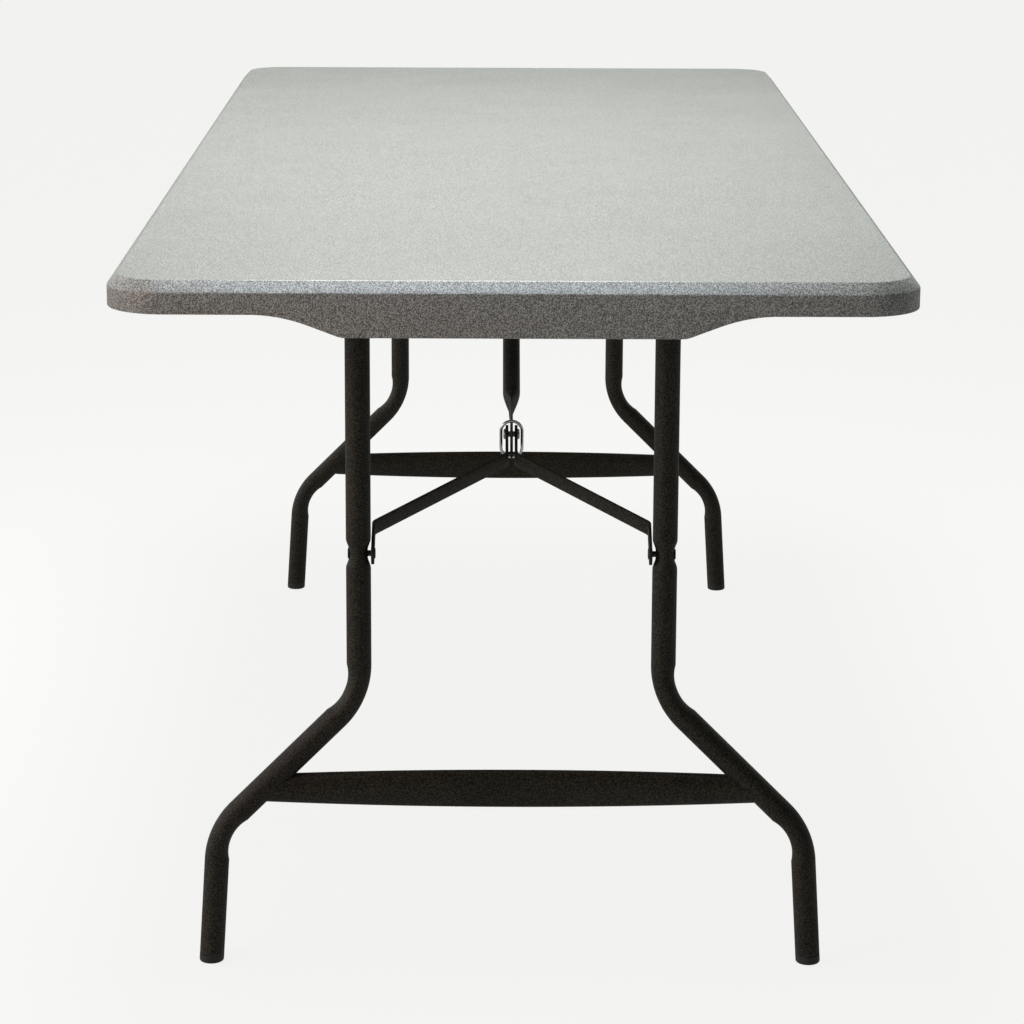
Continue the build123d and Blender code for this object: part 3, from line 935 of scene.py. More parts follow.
@dataclass
class MouldedTop:
    """The hollow plastic top, with its bevel, rim, aprons and dimpled underside.

    Attributes:
        corner: Plan radius of the corners.
        bevel_drop: Height of the bevel round the top.
        bevel_inset: Width of the bevel in plan.
        slab: Thickness of the slab inside the rim.
        skirt: Depth of the rim from the top.
        rim_wall: Thickness of the rim.
        apron: Depth of the end aprons from the top.
        slope_top: Where the apron's sloping end would meet the rim's edge.
        slope_foot: Where it would meet the apron's edge.
        top_blend: Radius between the rim's edge and the slope.
        foot_blend: Radius between the slope and the apron's edge.
        pitch: Spacing of the dimples.
        dimple: Radius of a dimple's mouth.
        dimple_floor: Radius of a dimple's floor.
        dimple_depth: Depth of a dimple.
    """

    corner: float = 57 * MM
    bevel_drop: float = 11 * MM
    bevel_inset: float = 10 * MM
    slab: float = 18 * MM
    skirt: float = 31 * MM
    rim_wall: float = 16 * MM
    apron: float = 52.5 * MM
    slope_top: float = 217 * MM
    slope_foot: float = 160 * MM
    top_blend: float = 155 * MM
    foot_blend: float = 25 * MM
    pitch: float = 56 * MM
    dimple: float = 17 * MM
    dimple_floor: float = 10 * MM
    dimple_depth: float = 12.5 * MM

    def __post_init__(self) -> None:
        """Reads the top's place and outside size from the frame."""
        self.low, self.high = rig.box("blow_molded_top")
        self.half_width = self.high.x
        self.half_length = self.high.y
        self.top_z = self.high.z
        self.rim_z = self.top_z - self.skirt
        self.under_z = self.top_z - self.slab

    def apron_drop(self, x: float) -> float:
        """How far the apron's edge hangs below the rim's edge.

        Args:
            x: Distance across the table from its middle.

        Returns:
            The drop, in metres.
        """
        full = self.apron - self.skirt
        slope = full / (self.slope_top - self.slope_foot)
        turn = math.atan(slope)
        top_tangent = self.top_blend * math.tan(turn / 2)
        foot_tangent = self.foot_blend * math.tan(turn / 2)
        across = abs(x)
        if across >= self.slope_top + top_tangent:
            return 0.0
        if across <= self.slope_foot - foot_tangent:
            return full
        if across > self.slope_top - top_tangent * math.cos(turn):
            run = self.slope_top + top_tangent - across
            return self.top_blend - math.sqrt(self.top_blend**2 - run**2)
        if across < self.slope_foot + foot_tangent * math.cos(turn):
            run = across - (self.slope_foot - foot_tangent)
            return full - self.foot_blend + math.sqrt(self.foot_blend**2 - run**2)
        return (self.slope_top - across) * slope

    def slice_places(self) -> list[float]:
        """Where the shell is sliced across, so that the apron's edge can curve.

        Returns:
            The places across the table, from left to right.
        """
        foot_steps = (-5, -3.5, -1.5, 0.5, 2.5, 4.5)
        first_outer = self.slope_foot + 14 * MM
        outer_spacing = 7.4 * MM
        right = [self.slope_foot + step * MM for step in foot_steps]
        right += [first_outer + index * outer_spacing for index in range(10)]
        return sorted([-x for x in right] + right)

    def shell(self) -> bpy.types.Object:
        """The outside of the moulding, with a flat, open underside.

        Returns:
            The shell object.
        """
        deselect_everything()
        bpy.ops.mesh.primitive_plane_add(size=1.0, location=(0, 0, self.rim_z))
        shell = take_primitive("moulded_top")
        shell.scale = (2 * self.half_width, 2 * self.half_length, 1)
        fix_place(shell)
        with editing(shell):
            bpy.ops.mesh.select_all(action="SELECT")
            bpy.ops.mesh.bevel(offset=self.corner, segments=14, affect="VERTICES")
            for place in self.slice_places():
                bpy.ops.mesh.select_all(action="SELECT")
                bpy.ops.mesh.bisect(plane_co=(place, 0, 0), plane_no=(1, 0, 0))
            bpy.ops.mesh.select_all(action="SELECT")
            wall = self.skirt - self.bevel_drop
            bpy.ops.mesh.extrude_region_move(TRANSFORM_OT_translate={"value": (0, 0, wall)})
            bpy.ops.mesh.inset(thickness=self.bevel_inset, depth=self.bevel_drop)
        close_and_orient(shell)
        return shell

    def hollow_rim(self, shell: bpy.types.Object) -> None:
        """Cuts the recess inside the rim and lowers the aprons.

        Args:
            shell: The shell, closed underneath at the rim's edge.
        """
        half_wall = 0.5 * MM
        with editing(shell):
            pick(shell, Element.FACE, lambda p: p.z < self.rim_z + half_wall)
            bpy.ops.mesh.inset(thickness=self.rim_wall, depth=0.0)
            rise = self.under_z - self.rim_z
            bpy.ops.mesh.extrude_region_move(TRANSFORM_OT_translate={"value": (0, 0, rise)})
            for place in self.slice_places():
                drop = self.apron_drop(place)
                self.lower_rim(shell, lambda p, at=place: abs(p.x - at) < 0.2 * MM, drop)

    def lower_rim(self, shell: bpy.types.Object, wanted: Callable[[Vector], bool], drop: float) -> None:
        """Moves part of the rim's lower edge down at both ends of the table.

        Args:
            shell: The shell, in edit mode.
            wanted: Picks the vertices across the table.
            drop: How far they go down.
        """
        if drop <= 0.0:
            return
        end_zone = self.half_length - self.rim_wall - 1 * MM
        found = pick(
            shell,
            Element.VERT,
            lambda p: wanted(p) and p.z < self.rim_z + 1 * MM and abs(p.y) > end_zone,
        )
        if found:
            bpy.ops.transform.translate(value=(0, 0, -drop))

    def keep_clear(self) -> list[tuple[float, float, float, float]]:
        """Plan boxes under the top where something is fastened, so there is no dimple.

        Returns:
            Low X, high X, low Y and high Y of each box.
        """
        margin = 6 * MM
        boxes = []
        for name in frame["nodes"]:
            if name.endswith(("pivot_bracket", "brace_bracket", "leg_clip", "side_rail")):
                low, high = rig.box(name)
                boxes.append((low.x - margin, high.x + margin, low.y - margin, high.y + margin))
        return boxes

    def dimple_centres(self) -> tuple[list[Vector], int, int]:
        """The grid of cells on the underside.

        Returns:
            The centres of the cells that get a dimple, and the cells along X and Y.
        """
        across = int(2 * (self.half_width - self.rim_wall - 40 * MM) / self.pitch)
        along = int(2 * (self.half_length - self.rim_wall - 26 * MM) / self.pitch)
        clear = self.keep_clear()
        centres = []
        for column in range(across):
            for row in range(along):
                x = (column - (across - 1) / 2) * self.pitch
                y = (row - (along - 1) / 2) * self.pitch
                blocked = any(
                    low_x - self.dimple < x < high_x + self.dimple
                    and low_y - self.dimple < y < high_y + self.dimple
                    for low_x, high_x, low_y, high_y in clear
                )
                if not blocked:
                    centres.append(Vector((x, y, self.under_z)))
        return centres, across, along

    def underside(self) -> bpy.types.Object:
        """The grid of cells under the top, each with its dimple or plain.

        Returns:
            The grid as one object.
        """
        centres, across, along = self.dimple_centres()
        wanted = {(round(c.x, 5), round(c.y, 5)) for c in centres}
        deselect_everything()
        bpy.ops.mesh.primitive_grid_add(
            x_subdivisions=across, y_subdivisions=along, size=1.0, location=(0, 0, self.under_z)
        )
        grid = take_primitive("underside_grid")
        grid.scale = (across * self.pitch, along * self.pitch, 1)
        fix_place(grid)
        with editing(grid):
            bpy.ops.mesh.select_all(action="SELECT")
            bpy.ops.mesh.flip_normals()
            pick(grid, Element.FACE, lambda p: (round(p.x, 5), round(p.y, 5)) in wanted)
            bpy.ops.mesh.inset(use_individual=True, thickness=self.pitch / 2 - self.dimple)
        return grid

    def round_dimples(self, grid: bpy.types.Object) -> None:
        """Turns the inset squares into round, sloping dimples with a soft lip.

        Args:
            grid: The grid, with one inset square in each dimpled cell.
        """
        half = self.dimple + 0.5 * MM
        with editing(grid):
            self.pick_small_faces(grid, half)
            bpy.ops.mesh.bevel(offset=self.dimple * 0.55, segments=3, affect="VERTICES")
            self.pick_small_faces(grid, half)
            bpy.ops.mesh.inset(use_individual=True, thickness=1.2 * MM, depth=-1.0 * MM)
            slope = self.dimple - self.dimple_floor - 2.4 * MM
            bpy.ops.mesh.inset(use_individual=True, thickness=slope, depth=-(self.dimple_depth - 2.2 * MM))
            bpy.ops.mesh.inset(use_individual=True, thickness=1.2 * MM, depth=-1.2 * MM)

    def pick_small_faces(self, grid: bpy.types.Object, half: float) -> None:
        """Selects the faces in the middle of the dimpled cells.

        Args:
            grid: The grid, in edit mode.
            half: Half the size of the largest face that counts.
        """
        bpy.ops.mesh.select_mode(type="FACE")
        bpy.ops.mesh.select_all(action="DESELECT")
        bpy.ops.object.mode_set(mode="OBJECT")
        mesh = grid.data
        for face in mesh.polygons:
            xs = [mesh.vertices[v].co.x for v in face.vertices]
            ys = [mesh.vertices[v].co.y for v in face.vertices]
            wide = max(xs) - min(xs)
            deep = max(ys) - min(ys)
            inset_square = abs(wide - deep) < 1 * MM and half < wide < 2 * half
            face.select = inset_square
        bpy.ops.object.mode_set(mode="EDIT")

    def build(self) -> bpy.types.Object:
        """Models the whole top.

        Returns:
            The finished object.
        """
        shell = self.shell()
        self.hollow_rim(shell)
        with editing(shell):
            pick(
                shell,
                Element.FACE,
                lambda p: abs(p.z - self.under_z) < 0.5 * MM
                and abs(p.x) < self.half_width - self.rim_wall - 1 * MM
                and abs(p.y) < self.half_length - self.rim_wall - 1 * MM,
            )
            bpy.ops.mesh.dissolve_faces()
        add_modifier(
            shell, "BEVEL", width=1.1 * MM, segments=3, limit_method="ANGLE", angle_limit=math.radians(28)
        )
        with editing(shell):
            pick(
                shell,
                Element.FACE,
                lambda p: abs(p.z - self.under_z) < 0.2 * MM and abs(p.x) < 0.2 and abs(p.y) < 0.5,
            )
            bpy.ops.mesh.delete(type="ONLY_FACE")
        grid = self.underside()
        self.round_dimples(grid)
        deselect_everything()
        grid.select_set(True)
        shell.select_set(True)
        bpy.context.view_layer.objects.active = shell
        bpy.ops.object.join()
        with editing(shell):
            bpy.ops.mesh.select_mode(type="EDGE")
            bpy.ops.mesh.select_all(action="DESELECT")
            bpy.ops.mesh.select_non_manifold()
            bpy.ops.mesh.fill()
        close_and_orient(shell)
        smooth(shell)
        return shell


# ---------------------------------------------------------------------------
# Tubes
# ---------------------------------------------------------------------------


class TubeRun:
    """A tube drawn ring by ring in the X-Z plane, from its top end."""

    def __init__(self, name: str, radius: float, start: Vector, heading: float, sides: int = 40) -> None:
        """Adds the first ring.

        Args:
            name: The piece's name.
            radius: Outside radius of the tube.
            start: Centre of the first ring.
            heading: Direction of travel in the X-Z plane, in radians from +X towards +Z.
            sides: Vertices round the tube.
        """
        deselect_everything()
        self.heading = heading
        self.at = start.copy()
        turn = (0, math.pi / 2 - heading, 0)
        bpy.ops.mesh.primitive_circle_add(vertices=sides, radius=radius, location=start, rotation=turn)
        self.piece = take_primitive(name)
        fix_place(self.piece)
        make_active(self.piece)
        bpy.ops.object.mode_set(mode="EDIT")
        bpy.ops.mesh.select_mode(type="EDGE")
        bpy.ops.mesh.select_all(action="SELECT")

    def straight(self, length: float, rings: int = 1) -> "TubeRun":
        """Draws a straight stretch.

        Args:
            length: How far it goes.
            rings: How many rings it is made of.

        Returns:
            The run itself, to chain calls.
        """
        step = length / rings
        move = Vector((math.cos(self.heading), 0, math.sin(self.heading))) * step
        for _ in range(rings):
            bpy.ops.mesh.extrude_region_move(TRANSFORM_OT_translate={"value": move})
            self.at += move
        return self

    def bend(self, radius: float, turn: float, rings: int = 16) -> "TubeRun":
        """Draws a bend in the X-Z plane.

        Args:
            radius: Radius of the centreline.
            turn: Angle turned, in radians; positive turns from +X towards +Z.
            rings: How many rings it is made of.

        Returns:
            The run itself, to chain calls.
        """
        side = math.copysign(1.0, turn)
        across = Vector((-math.sin(self.heading), 0, math.cos(self.heading))) * side
        centre = self.at + across * radius
        bpy.ops.mesh.spin(steps=rings, angle=abs(turn), center=centre, axis=(0, side, 0))
        self.heading += turn
        out = Vector((-math.sin(self.heading), 0, math.cos(self.heading))) * side
        self.at = centre - out * radius
        return self

    def close(self) -> bpy.types.Object:
        """Closes both ends.

        Returns:
            The finished tube.
        """
        bpy.ops.mesh.select_all(action="DESELECT")
        bpy.ops.mesh.select_non_manifold()
        bpy.ops.mesh.edge_face_add()
        bpy.ops.object.mode_set(mode="OBJECT")
        close_and_orient(self.piece)
        return self.piece


@dataclass
class LegFrame:
    """One folding leg frame: two wishbone legs, a cross tube and a stretcher.

    Attributes:
        tube: Outside radius of the tube.
        bend: Centreline radius of the bends.
        upper_bend_z: Height of the corner where the upper bend's straight runs meet.
        lower_bend_x: Place across of the lower bend's corner.
        lower_bend_z: Height of that corner.
        upright_x: Place across of the upright.
        foot_x: Place across of the foot.
        lean: How far the frame leans outwards, in degrees.
        tube_end_z: Height where the tube stops above the floor.
        crimp: Depth of the pinch at the brace rivet.
        crush: How much the inside of a bend flattens.
        crush_reach: Angle of bend over which that sets in, in radians.
        rivet_drop: Distance of the rivet down the leg from the cross tube.
        pinch_reach: How far the pinch reaches above and below the rivet.
        pinch_flat: How far it keeps its full depth.
        fine: Length of the finely ringed stretch next to each bend.
        pinch_zone: Half the length of the finely ringed stretch about the rivet.
        top_gap: How far the tube starts below the pivot.
        stretcher_z: Height of the stretcher's middle.
        stretcher_half: Half of its length.
        stretcher_tall: Its height at its middle.
        stretcher_end: Its height at its ends.
        stretcher_thin: Its thickness at its middle.
        stretcher_end_thick: Its thickness at its ends.
    """

    tube: float = 12.5 * MM
    bend: float = 80 * MM
    upper_bend_z: float = 282.5 * MM
    lower_bend_x: float = 297 * MM
    lower_bend_z: float = 138.9 * MM
    upright_x: float = 153 * MM
    foot_x: float = 306 * MM
    lean: float = 1.0
    tube_end_z: float = 9 * MM
    crimp: float = 3.1 * MM
    crush: float = 3.1 * MM
    crush_reach: float = 0.34
    rivet_drop: float = 268 * MM
    pinch_reach: float = 15.5 * MM
    pinch_flat: float = 3.5 * MM
    fine: float = 8 * MM
    pinch_zone: float = 30 * MM
    top_gap: float = 8 * MM
    stretcher_z: float = 185 * MM
    stretcher_half: float = 248 * MM
    stretcher_tall: float = 39.5 * MM
    stretcher_end: float = 28.5 * MM
    stretcher_thin: float = 11.6 * MM
    stretcher_end_thick: float = 23 * MM

    def __post_init__(self) -> None:
        """Reads the frame's pivot from the front leg's joint."""
        self.pivot = Vector(JOINTS["front_leg_fold"]["pos_m"])

    def stand(self, piece: bpy.types.Object) -> None:
        """Moves a piece drawn about the pivot to its place at the front, leaning out.

        Args:
            piece: The object, drawn with the pivot at the origin.
        """
        piece.location = self.pivot
        piece.rotation_euler = (math.radians(-self.lean), 0, 0)
        fix_place(piece)

    def leg_points(self) -> tuple[Vector, Vector, Vector, Vector]:
        """The corners of the leg's centreline, about the pivot.

        Returns:
            The top, the corners of the upper and lower bends, and the foot.
        """
        down = self.pivot.z
        return (
            Vector((self.upright_x, 0, 0)),
            Vector((self.upright_x, 0, self.upper_bend_z - down)),
            Vector((self.lower_bend_x, 0, self.lower_bend_z - down)),
            Vector((self.foot_x, 0, -down)),
        )

    def bend_press(self, corner: Vector, before: Vector, after: Vector) -> Callable[[Vector], float]:
        """Where the inside of a bend is crushed.

        Args:
            corner: Where the bend's straight runs meet.
            before: A point on the run before it.
            after: A point on the run after it.

        Returns:
            A weight for any point of the tube.
        """
        incoming = (corner - before).normalized()
        outgoing = (after - corner).normalized()
        turn = incoming.angle(outgoing)
        inward = (outgoing - incoming).normalized()
        centre = corner + inward * (self.bend / math.cos(turn / 2))
        middle = -inward

        def weight(point: Vector) -> float:
            """Weight of the crush.

            Args:
                point: A point of the leg, about the pivot.

            Returns:
                0 to 1.
            """
            arm = Vector((point.x - centre.x, 0, point.z - centre.z))
            distance = arm.length
            if distance > self.bend + self.tube * 1.3 or distance < self.bend - self.tube * 1.3:
                return 0.0
            swing = arm.angle(middle)
            edge = turn / 2
            if swing > edge:
                return 0.0
            inside = max(0.0, (self.bend - distance) / self.tube)
            blend = min(1.0, (edge - swing) / self.crush_reach)
            return (inside**1.2) * (1.0 - (1.0 - blend) ** 2)

        return weight

    def pinch_weight(self, point: Vector) -> float:
        """Weight of the pinch that the brace rivet makes in both sides of a leg.

        Args:
            point: A point of the leg, about the pivot.

        Returns:
            0 to 1.
        """
        along = abs(point.z + self.rivet_drop)
        if along > self.pinch_reach:
            return 0.0
        side = min(1.0, abs(point.x - self.upright_x) / self.tube)
        share = max(0.0, along - self.pinch_flat) / (self.pinch_reach - self.pinch_flat)
        return (side**1.2) * (0.5 + 0.5 * math.cos(math.pi * share))

    def leg(self) -> bpy.types.Object:
        """The front right leg.

        Returns:
            The leg, in its place.
        """
        top, upper, lower, foot = self.leg_points()
        slope_turn = (lower - upper).angle(upper - top)
        foot_turn = (foot - lower).angle(lower - upper)
        upper_cut = self.bend * math.tan(slope_turn / 2)
        lower_cut = self.bend * math.tan(foot_turn / 2)
        start = top + Vector((0, 0, -self.top_gap))
        run = TubeRun("front_right_leg_tube", self.tube, start, -math.pi / 2)
        to_pinch = self.rivet_drop - self.top_gap - self.pinch_zone
        run.straight(to_pinch, 8).straight(2 * self.pinch_zone, 30)
        rest = (upper - top).length - upper_cut - (self.rivet_drop + self.pinch_zone)
        run.straight(rest - self.fine, 3).straight(self.fine, 6)
        run.bend(self.bend, slope_turn, 30)
        slope_length = (lower - upper).length - upper_cut - lower_cut
        run.straight(self.fine, 6).straight(slope_length - 2 * self.fine, 5).straight(self.fine, 6)
        run.bend(self.bend, -foot_turn, 28)
        foot_length = (foot - lower).length - lower_cut - self.tube_end_z
        run.straight(self.fine, 6).straight(foot_length - self.fine, 4)
        leg = run.close()
        press_in(leg, self.crimp, self.pinch_weight)
        press_in(leg, self.crush, self.bend_press(upper, top, lower))
        press_in(leg, self.crush, self.bend_press(lower, upper, foot))
        self.stand(leg)
        smooth(leg, 40)
        return leg

    def cross_tube(self) -> bpy.types.Object:
        """The front cross tube.

        Returns:
            The tube, in its place.
        """
        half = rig.box("front_cross_tube")[1].x
        run = TubeRun("front_cross_tube_bar", self.tube, Vector((-half, 0, 0)), 0.0)
        tube = run.straight(2 * half, 16).close()
        with editing(tube):
            pick(tube, Element.FACE, lambda p: abs(abs(p.x) - half) < 0.1 * MM)
            bpy.ops.mesh.inset(thickness=1.2 * MM, depth=0.0, use_individual=True)
            bpy.ops.mesh.inset(thickness=0.2 * MM, depth=-0.6 * MM, use_individual=True)
        self.stand(tube)
        smooth(tube, 40)
        return tube

    def stretcher(self) -> bpy.types.Object:
        """The oval stretcher between the front legs.

        Returns:
            The stretcher, in its place.
        """
        height = self.stretcher_z - self.pivot.z
        rings = 36
        start = Vector((-self.stretcher_half, 0, height))
        run = TubeRun("front_stretcher_bar", self.tube, start, 0.0)
        bar = run.straight(2 * self.stretcher_half, rings).close()
        for index in range(rings + 1):
            share = 2 * index / rings - 1
            place = share * self.stretcher_half
            tall = self.stretcher_tall + (self.stretcher_end - self.stretcher_tall) * share**2
            thin = self.stretcher_thin + (self.stretcher_end_thick - self.stretcher_thin) * share**2
            with editing(bar):
                pick(bar, Element.VERT, lambda p, at=place: abs(p.x - at) < 0.5 * MM)
                bpy.ops.transform.resize(
                    value=(1, thin / (2 * self.tube), tall / (2 * self.tube)),
                    center_override=(place, 0, height),
                )
        self.stand(bar)
        smooth(bar, 40)
        return bar

    def build(self, shop: Paintshop) -> None:
        """Builds both leg frames and hands every piece over.

        Args:
            shop: Dresses the pieces.
        """
        leg = self.leg()
        cross = self.cross_tube()
        bar = self.stretcher()
        for end in End:
            for side in Side:
                across = Vector((side.sign, -end.sign, 1))
                name = f"{end.label}_{side.label}_leg"
                original = (end, side) == (End.FRONT, Side.RIGHT)
                copy = leg if original else mirrored(leg, f"{name}_tube", across)
                shop.hand_over(copy, name)
                smooth(copy, 40)
            lengthwise = Vector((1, -end.sign, 1))
            for piece, node in ((cross, "cross_tube"), (bar, "stretcher")):
                copy = piece if end is End.FRONT else mirrored(piece, f"rear_{node}_bar", lengthwise)
                shop.hand_over(copy, f"{end.label}_{node}")
                smooth(copy, 40)


# ---------------------------------------------------------------------------
# The folding brace
# ---------------------------------------------------------------------------


@dataclass
class Brace:
    """One folding brace's own pieces: its centre tube and its lock ring.

    Attributes:
        tube: Outside radius of the centre tube.
        flat_thick: Thickness of its pressed end.
        flat_wide: Width of its pressed end.
        tail: How far the pressed end passes the apex rivet.
        flat: How far it goes from the apex towards the round part.
        petal: Length of the change from flat to round.
        jog: How far the pressed end steps sideways at its stop.
        jog_middle: Distance of the middle of that step from the apex.
        jog_reach: How far the step reaches to each side of its middle.
        tail_round: Length over which the lower end narrows.
        anchor_end: How far the tube passes its upper pin.
        wire: Diameter of the lock ring's wire.
        ring_wide: Width of the lock ring.
        ring_tall: Height of the lock ring.
        ring_out: Height of its top wire's middle above the brace's middle.
        ring_along: Place of its top wire's middle above the apex rivet.
        ring_tilt: How far it leans up the brace, in degrees.
    """

    tube: float = 9.0 * MM
    flat_thick: float = 3 * MM
    flat_wide: float = 26 * MM
    tail: float = 28 * MM
    flat: float = 38 * MM
    petal: float = 25 * MM
    jog: float = 1.3 * MM
    jog_middle: float = 35 * MM
    jog_reach: float = 5.5 * MM
    tail_round: float = 8 * MM
    anchor_end: float = 12 * MM
    wire: float = 3.2 * MM
    ring_wide: float = 25 * MM
    ring_tall: float = 43.2 * MM
    ring_out: float = 16.5 * MM
    ring_along: float = 1.8 * MM
    ring_tilt: float = 20.0

    def __post_init__(self) -> None:
        """Reads the apex and the anchor from the front brace's joints."""
        self.apex = Vector(JOINTS["front_brace_fold"]["pos_m"])
        self.anchor = Vector(JOINTS["front_brace_swing"]["pos_m"])
        self.upper = (self.anchor - self.apex).length

    def lay(self, piece: bpy.types.Object) -> None:
        """Moves a piece drawn along +X from the apex to its place on the front brace.

        Args:
            piece: The object; its X runs up the brace and its Z out of it.
        """
        along = (self.anchor - self.apex).normalized()
        across = Vector((-1, 0, 0))
        outward = along.cross(across)
        turn = Matrix((along, across, outward)).transposed().to_4x4()
        piece.matrix_world = Matrix.Translation(self.apex) @ turn
        fix_place(piece)

    def section(self, place: float) -> tuple[float, float]:
        """Half sizes of the centre tube at a place.

        Args:
            place: Distance from the apex up the brace.

        Returns:
            Half thickness across the table, and half width out of the brace.
        """
        share = min(1.0, max(0.0, (place - self.flat) / self.petal))
        eased = share * share * (3 - 2 * share)
        rounded = 1 - (1 - share) ** 1.8
        thick = self.flat_thick / 2 + (self.tube - self.flat_thick / 2) * rounded
        wide = self.flat_wide / 2 + (self.tube - self.flat_wide / 2) * eased
        tail_end = self.tail + place
        if tail_end < self.tail_round:
            wide *= math.sqrt(max(0.05, 1 - (1 - tail_end / self.tail_round) ** 2)) * 0.4 + 0.6
        return thick, wide

    def side_step(self, place: float) -> float:
        """How far the pressed end stands sideways.

        Args:
            place: Distance from the apex up the brace.

        Returns:
            The sideways step there, in metres.
        """
        away = abs(place - self.jog_middle)
        if away > self.jog_reach:
            return 0.0
        return self.jog * 0.5 * (1 + math.cos(math.pi * away / self.jog_reach))

    def centre_tube(self) -> bpy.types.Object:
        """The front brace's centre tube.

        Returns:
            The tube, in its place.
        """
        start = -self.tail
        run = TubeRun("front_brace_centre_tube", self.tube, Vector((start, 0, 0)), 0.0)
        places = [start]
        stretches = (
            (self.tail_round, 6),
            (48 * MM, 4),
            (14 * MM, 14),
            (self.flat + self.petal - 39 * MM, 12),
            (self.upper + self.anchor_end - self.flat - self.petal - 3 * MM, 8),
        )
        for length, rings in stretches:
            run.straight(length, rings)
            for _ in range(rings):
                places.append(places[-1] + length / rings)
        tube = run.close()
        for place in places:
            thick, wide = self.section(place)
            with editing(tube):
                pick(tube, Element.VERT, lambda p, at=place: abs(p.x - at) < 0.3 * MM)
                bpy.ops.transform.resize(
                    value=(1, thick / self.tube, wide / self.tube), center_override=(place, 0, 0)
                )
                step = self.side_step(place)
                if step > 0.0:
                    bpy.ops.transform.translate(value=(0, step, 0))
        add_modifier(
            tube, "BEVEL", width=0.5 * MM, segments=2, limit_method="ANGLE", angle_limit=math.radians(50)
        )
        self.lay(tube)
        smooth(tube, 40)
        return tube

    def lock_ring(self) -> bpy.types.Object:
        """The front lock ring, a closed loop of wire.

        Returns:
            The ring, in its place.
        """
        bow = (self.ring_wide - self.wire) / 2
        leg = self.ring_tall - self.wire - 2 * bow
        deselect_everything()
        bpy.ops.mesh.primitive_circle_add(
            vertices=20, radius=self.wire / 2, location=(0, bow, 0), rotation=(0, 0, 0)
        )
        ring = take_primitive("front_lock_ring_wire")
        fix_place(ring)
        with editing(ring):
            bpy.ops.mesh.select_mode(type="EDGE")
            bpy.ops.mesh.select_all(action="SELECT")
            bpy.ops.mesh.spin(steps=28, angle=math.pi, center=(0, 0, 0), axis=(-1, 0, 0))
            for _ in range(6):
                bpy.ops.mesh.extrude_region_move(TRANSFORM_OT_translate={"value": (0, 0, -leg / 6)})
            bpy.ops.mesh.spin(steps=28, angle=math.pi, center=(0, 0, -leg), axis=(-1, 0, 0))
            for _ in range(6):
                bpy.ops.mesh.extrude_region_move(TRANSFORM_OT_translate={"value": (0, 0, leg / 6)})
        close_and_orient(ring, 0.02 * MM)
        ring.location = (0, 0, -bow)
        fix_place(ring)
        ring.rotation_euler = (0, math.radians(self.ring_tilt), 0)
        ring.location = (self.ring_along, 0, self.ring_out)
        fix_place(ring)
        self.lay(ring)
        smooth(ring, 60)
        return ring

    def build(self, shop: Paintshop) -> None:
        """Builds both braces' tubes and rings and hands them over.

        Args:
            shop: Dresses the pieces.
        """
        tube = self.centre_tube()
        ring = self.lock_ring()
        to_rear = Vector((1, -1, 1))
        for piece, node, rear_name in (
            (tube, "brace_tube", "rear_brace_centre_tube"),
            (ring, "lock_ring", "rear_lock_ring_wire"),
        ):
            shop.hand_over(piece, f"front_{node}")
            copy = mirrored(piece, rear_name, to_rear)
            smooth(copy, 50)
            shop.hand_over(copy, f"rear_{node}")


# ---------------------------------------------------------------------------
# Small pressed and moulded parts
# ---------------------------------------------------------------------------


@dataclass
class SoftenedParts:
    """Copies of the frame's small parts with their edges rounded as real ones are.

    Attributes:
        widths: Edge rounding for each kind of node, by the end of its name.
    """

    widths: dict[str, float] = field(
        default_factory=lambda: {
            "brace_strip": 0.6 * MM,
            "pivot_bracket": 0.6 * MM,
            "brace_bracket": 0.6 * MM,
            "leg_clip": 0.7 * MM,
            "side_rail": 0.4 * MM,
        }
    )

    def soften(self, node: str, width: float) -> bpy.types.Object:
        """Rounds the edges of a copy of one node.

        Args:
            node: The node's name.
            width: How far the rounding reaches from each edge.

        Returns:
            The softened copy.
        """
        source = frame["nodes"][node]
        copy = source.copy()
        copy.data = source.data.copy()
        copy.name = f"{node}_shape"
        copy.data.name = copy.name
        copy.parent = None
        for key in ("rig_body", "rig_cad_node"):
            if key in copy:
                del copy[key]
        bpy.context.scene.collection.objects.link(copy)
        close_and_orient(copy, 0.002 * MM)
        with editing(copy):
            bpy.ops.mesh.select_all(action="SELECT")
            bpy.ops.mesh.dissolve_limited(angle_limit=math.radians(1.0))
        add_modifier(
            copy,
            "BEVEL",
            width=width,
            segments=2,
            limit_method="ANGLE",
            angle_limit=math.radians(40),
            use_clamp_overlap=True,
        )
        smooth(copy, 35)
        return copy

    def build(self, shop: Paintshop) -> None:
        """Softens every node that has a width and hands the copies over.

        Args:
            shop: Dresses the pieces.
        """
        for node in sorted(frame["nodes"]):
            for ending, width in self.widths.items():
                if node.endswith(ending):
                    shop.hand_over(self.soften(node, width), node)


# ---------------------------------------------------------------------------
# Studio
# ---------------------------------------------------------------------------


@dataclass(frozen=True)
class Softbox:
    """One rectangular light.

    Attributes:
        name: The light's name.
        at: Its place.
        aim: The point that it faces.
        size: Its width and height.
        watts: Its power.
        colour: Its colour.
        glint_only: Whether it shows in reflections alone.
    """

    name: str
    at: tuple[float, float, float]
    aim: tuple[float, float, float]
    size: tuple[float, float]
    watts: float
    colour: tuple[float, float, float]
    glint_only: bool = False

    def hang(self) -> None:
        """Puts the light into the scene."""
        data = bpy.data.lights.new(self.name, "AREA")
        data.shape = "RECTANGLE"
        data.size, data.size_y = self.size
        data.energy = self.watts
        data.color = self.colour
        light = bpy.data.objects.new(self.name, data)
        light.location = self.at
        facing = Vector(self.aim) - Vector(self.at)
        light.rotation_euler = facing.to_track_quat("-Z", "Y").to_euler()
        light.visible_diffuse = not self.glint_only
        bpy.context.scene.collection.objects.link(light)


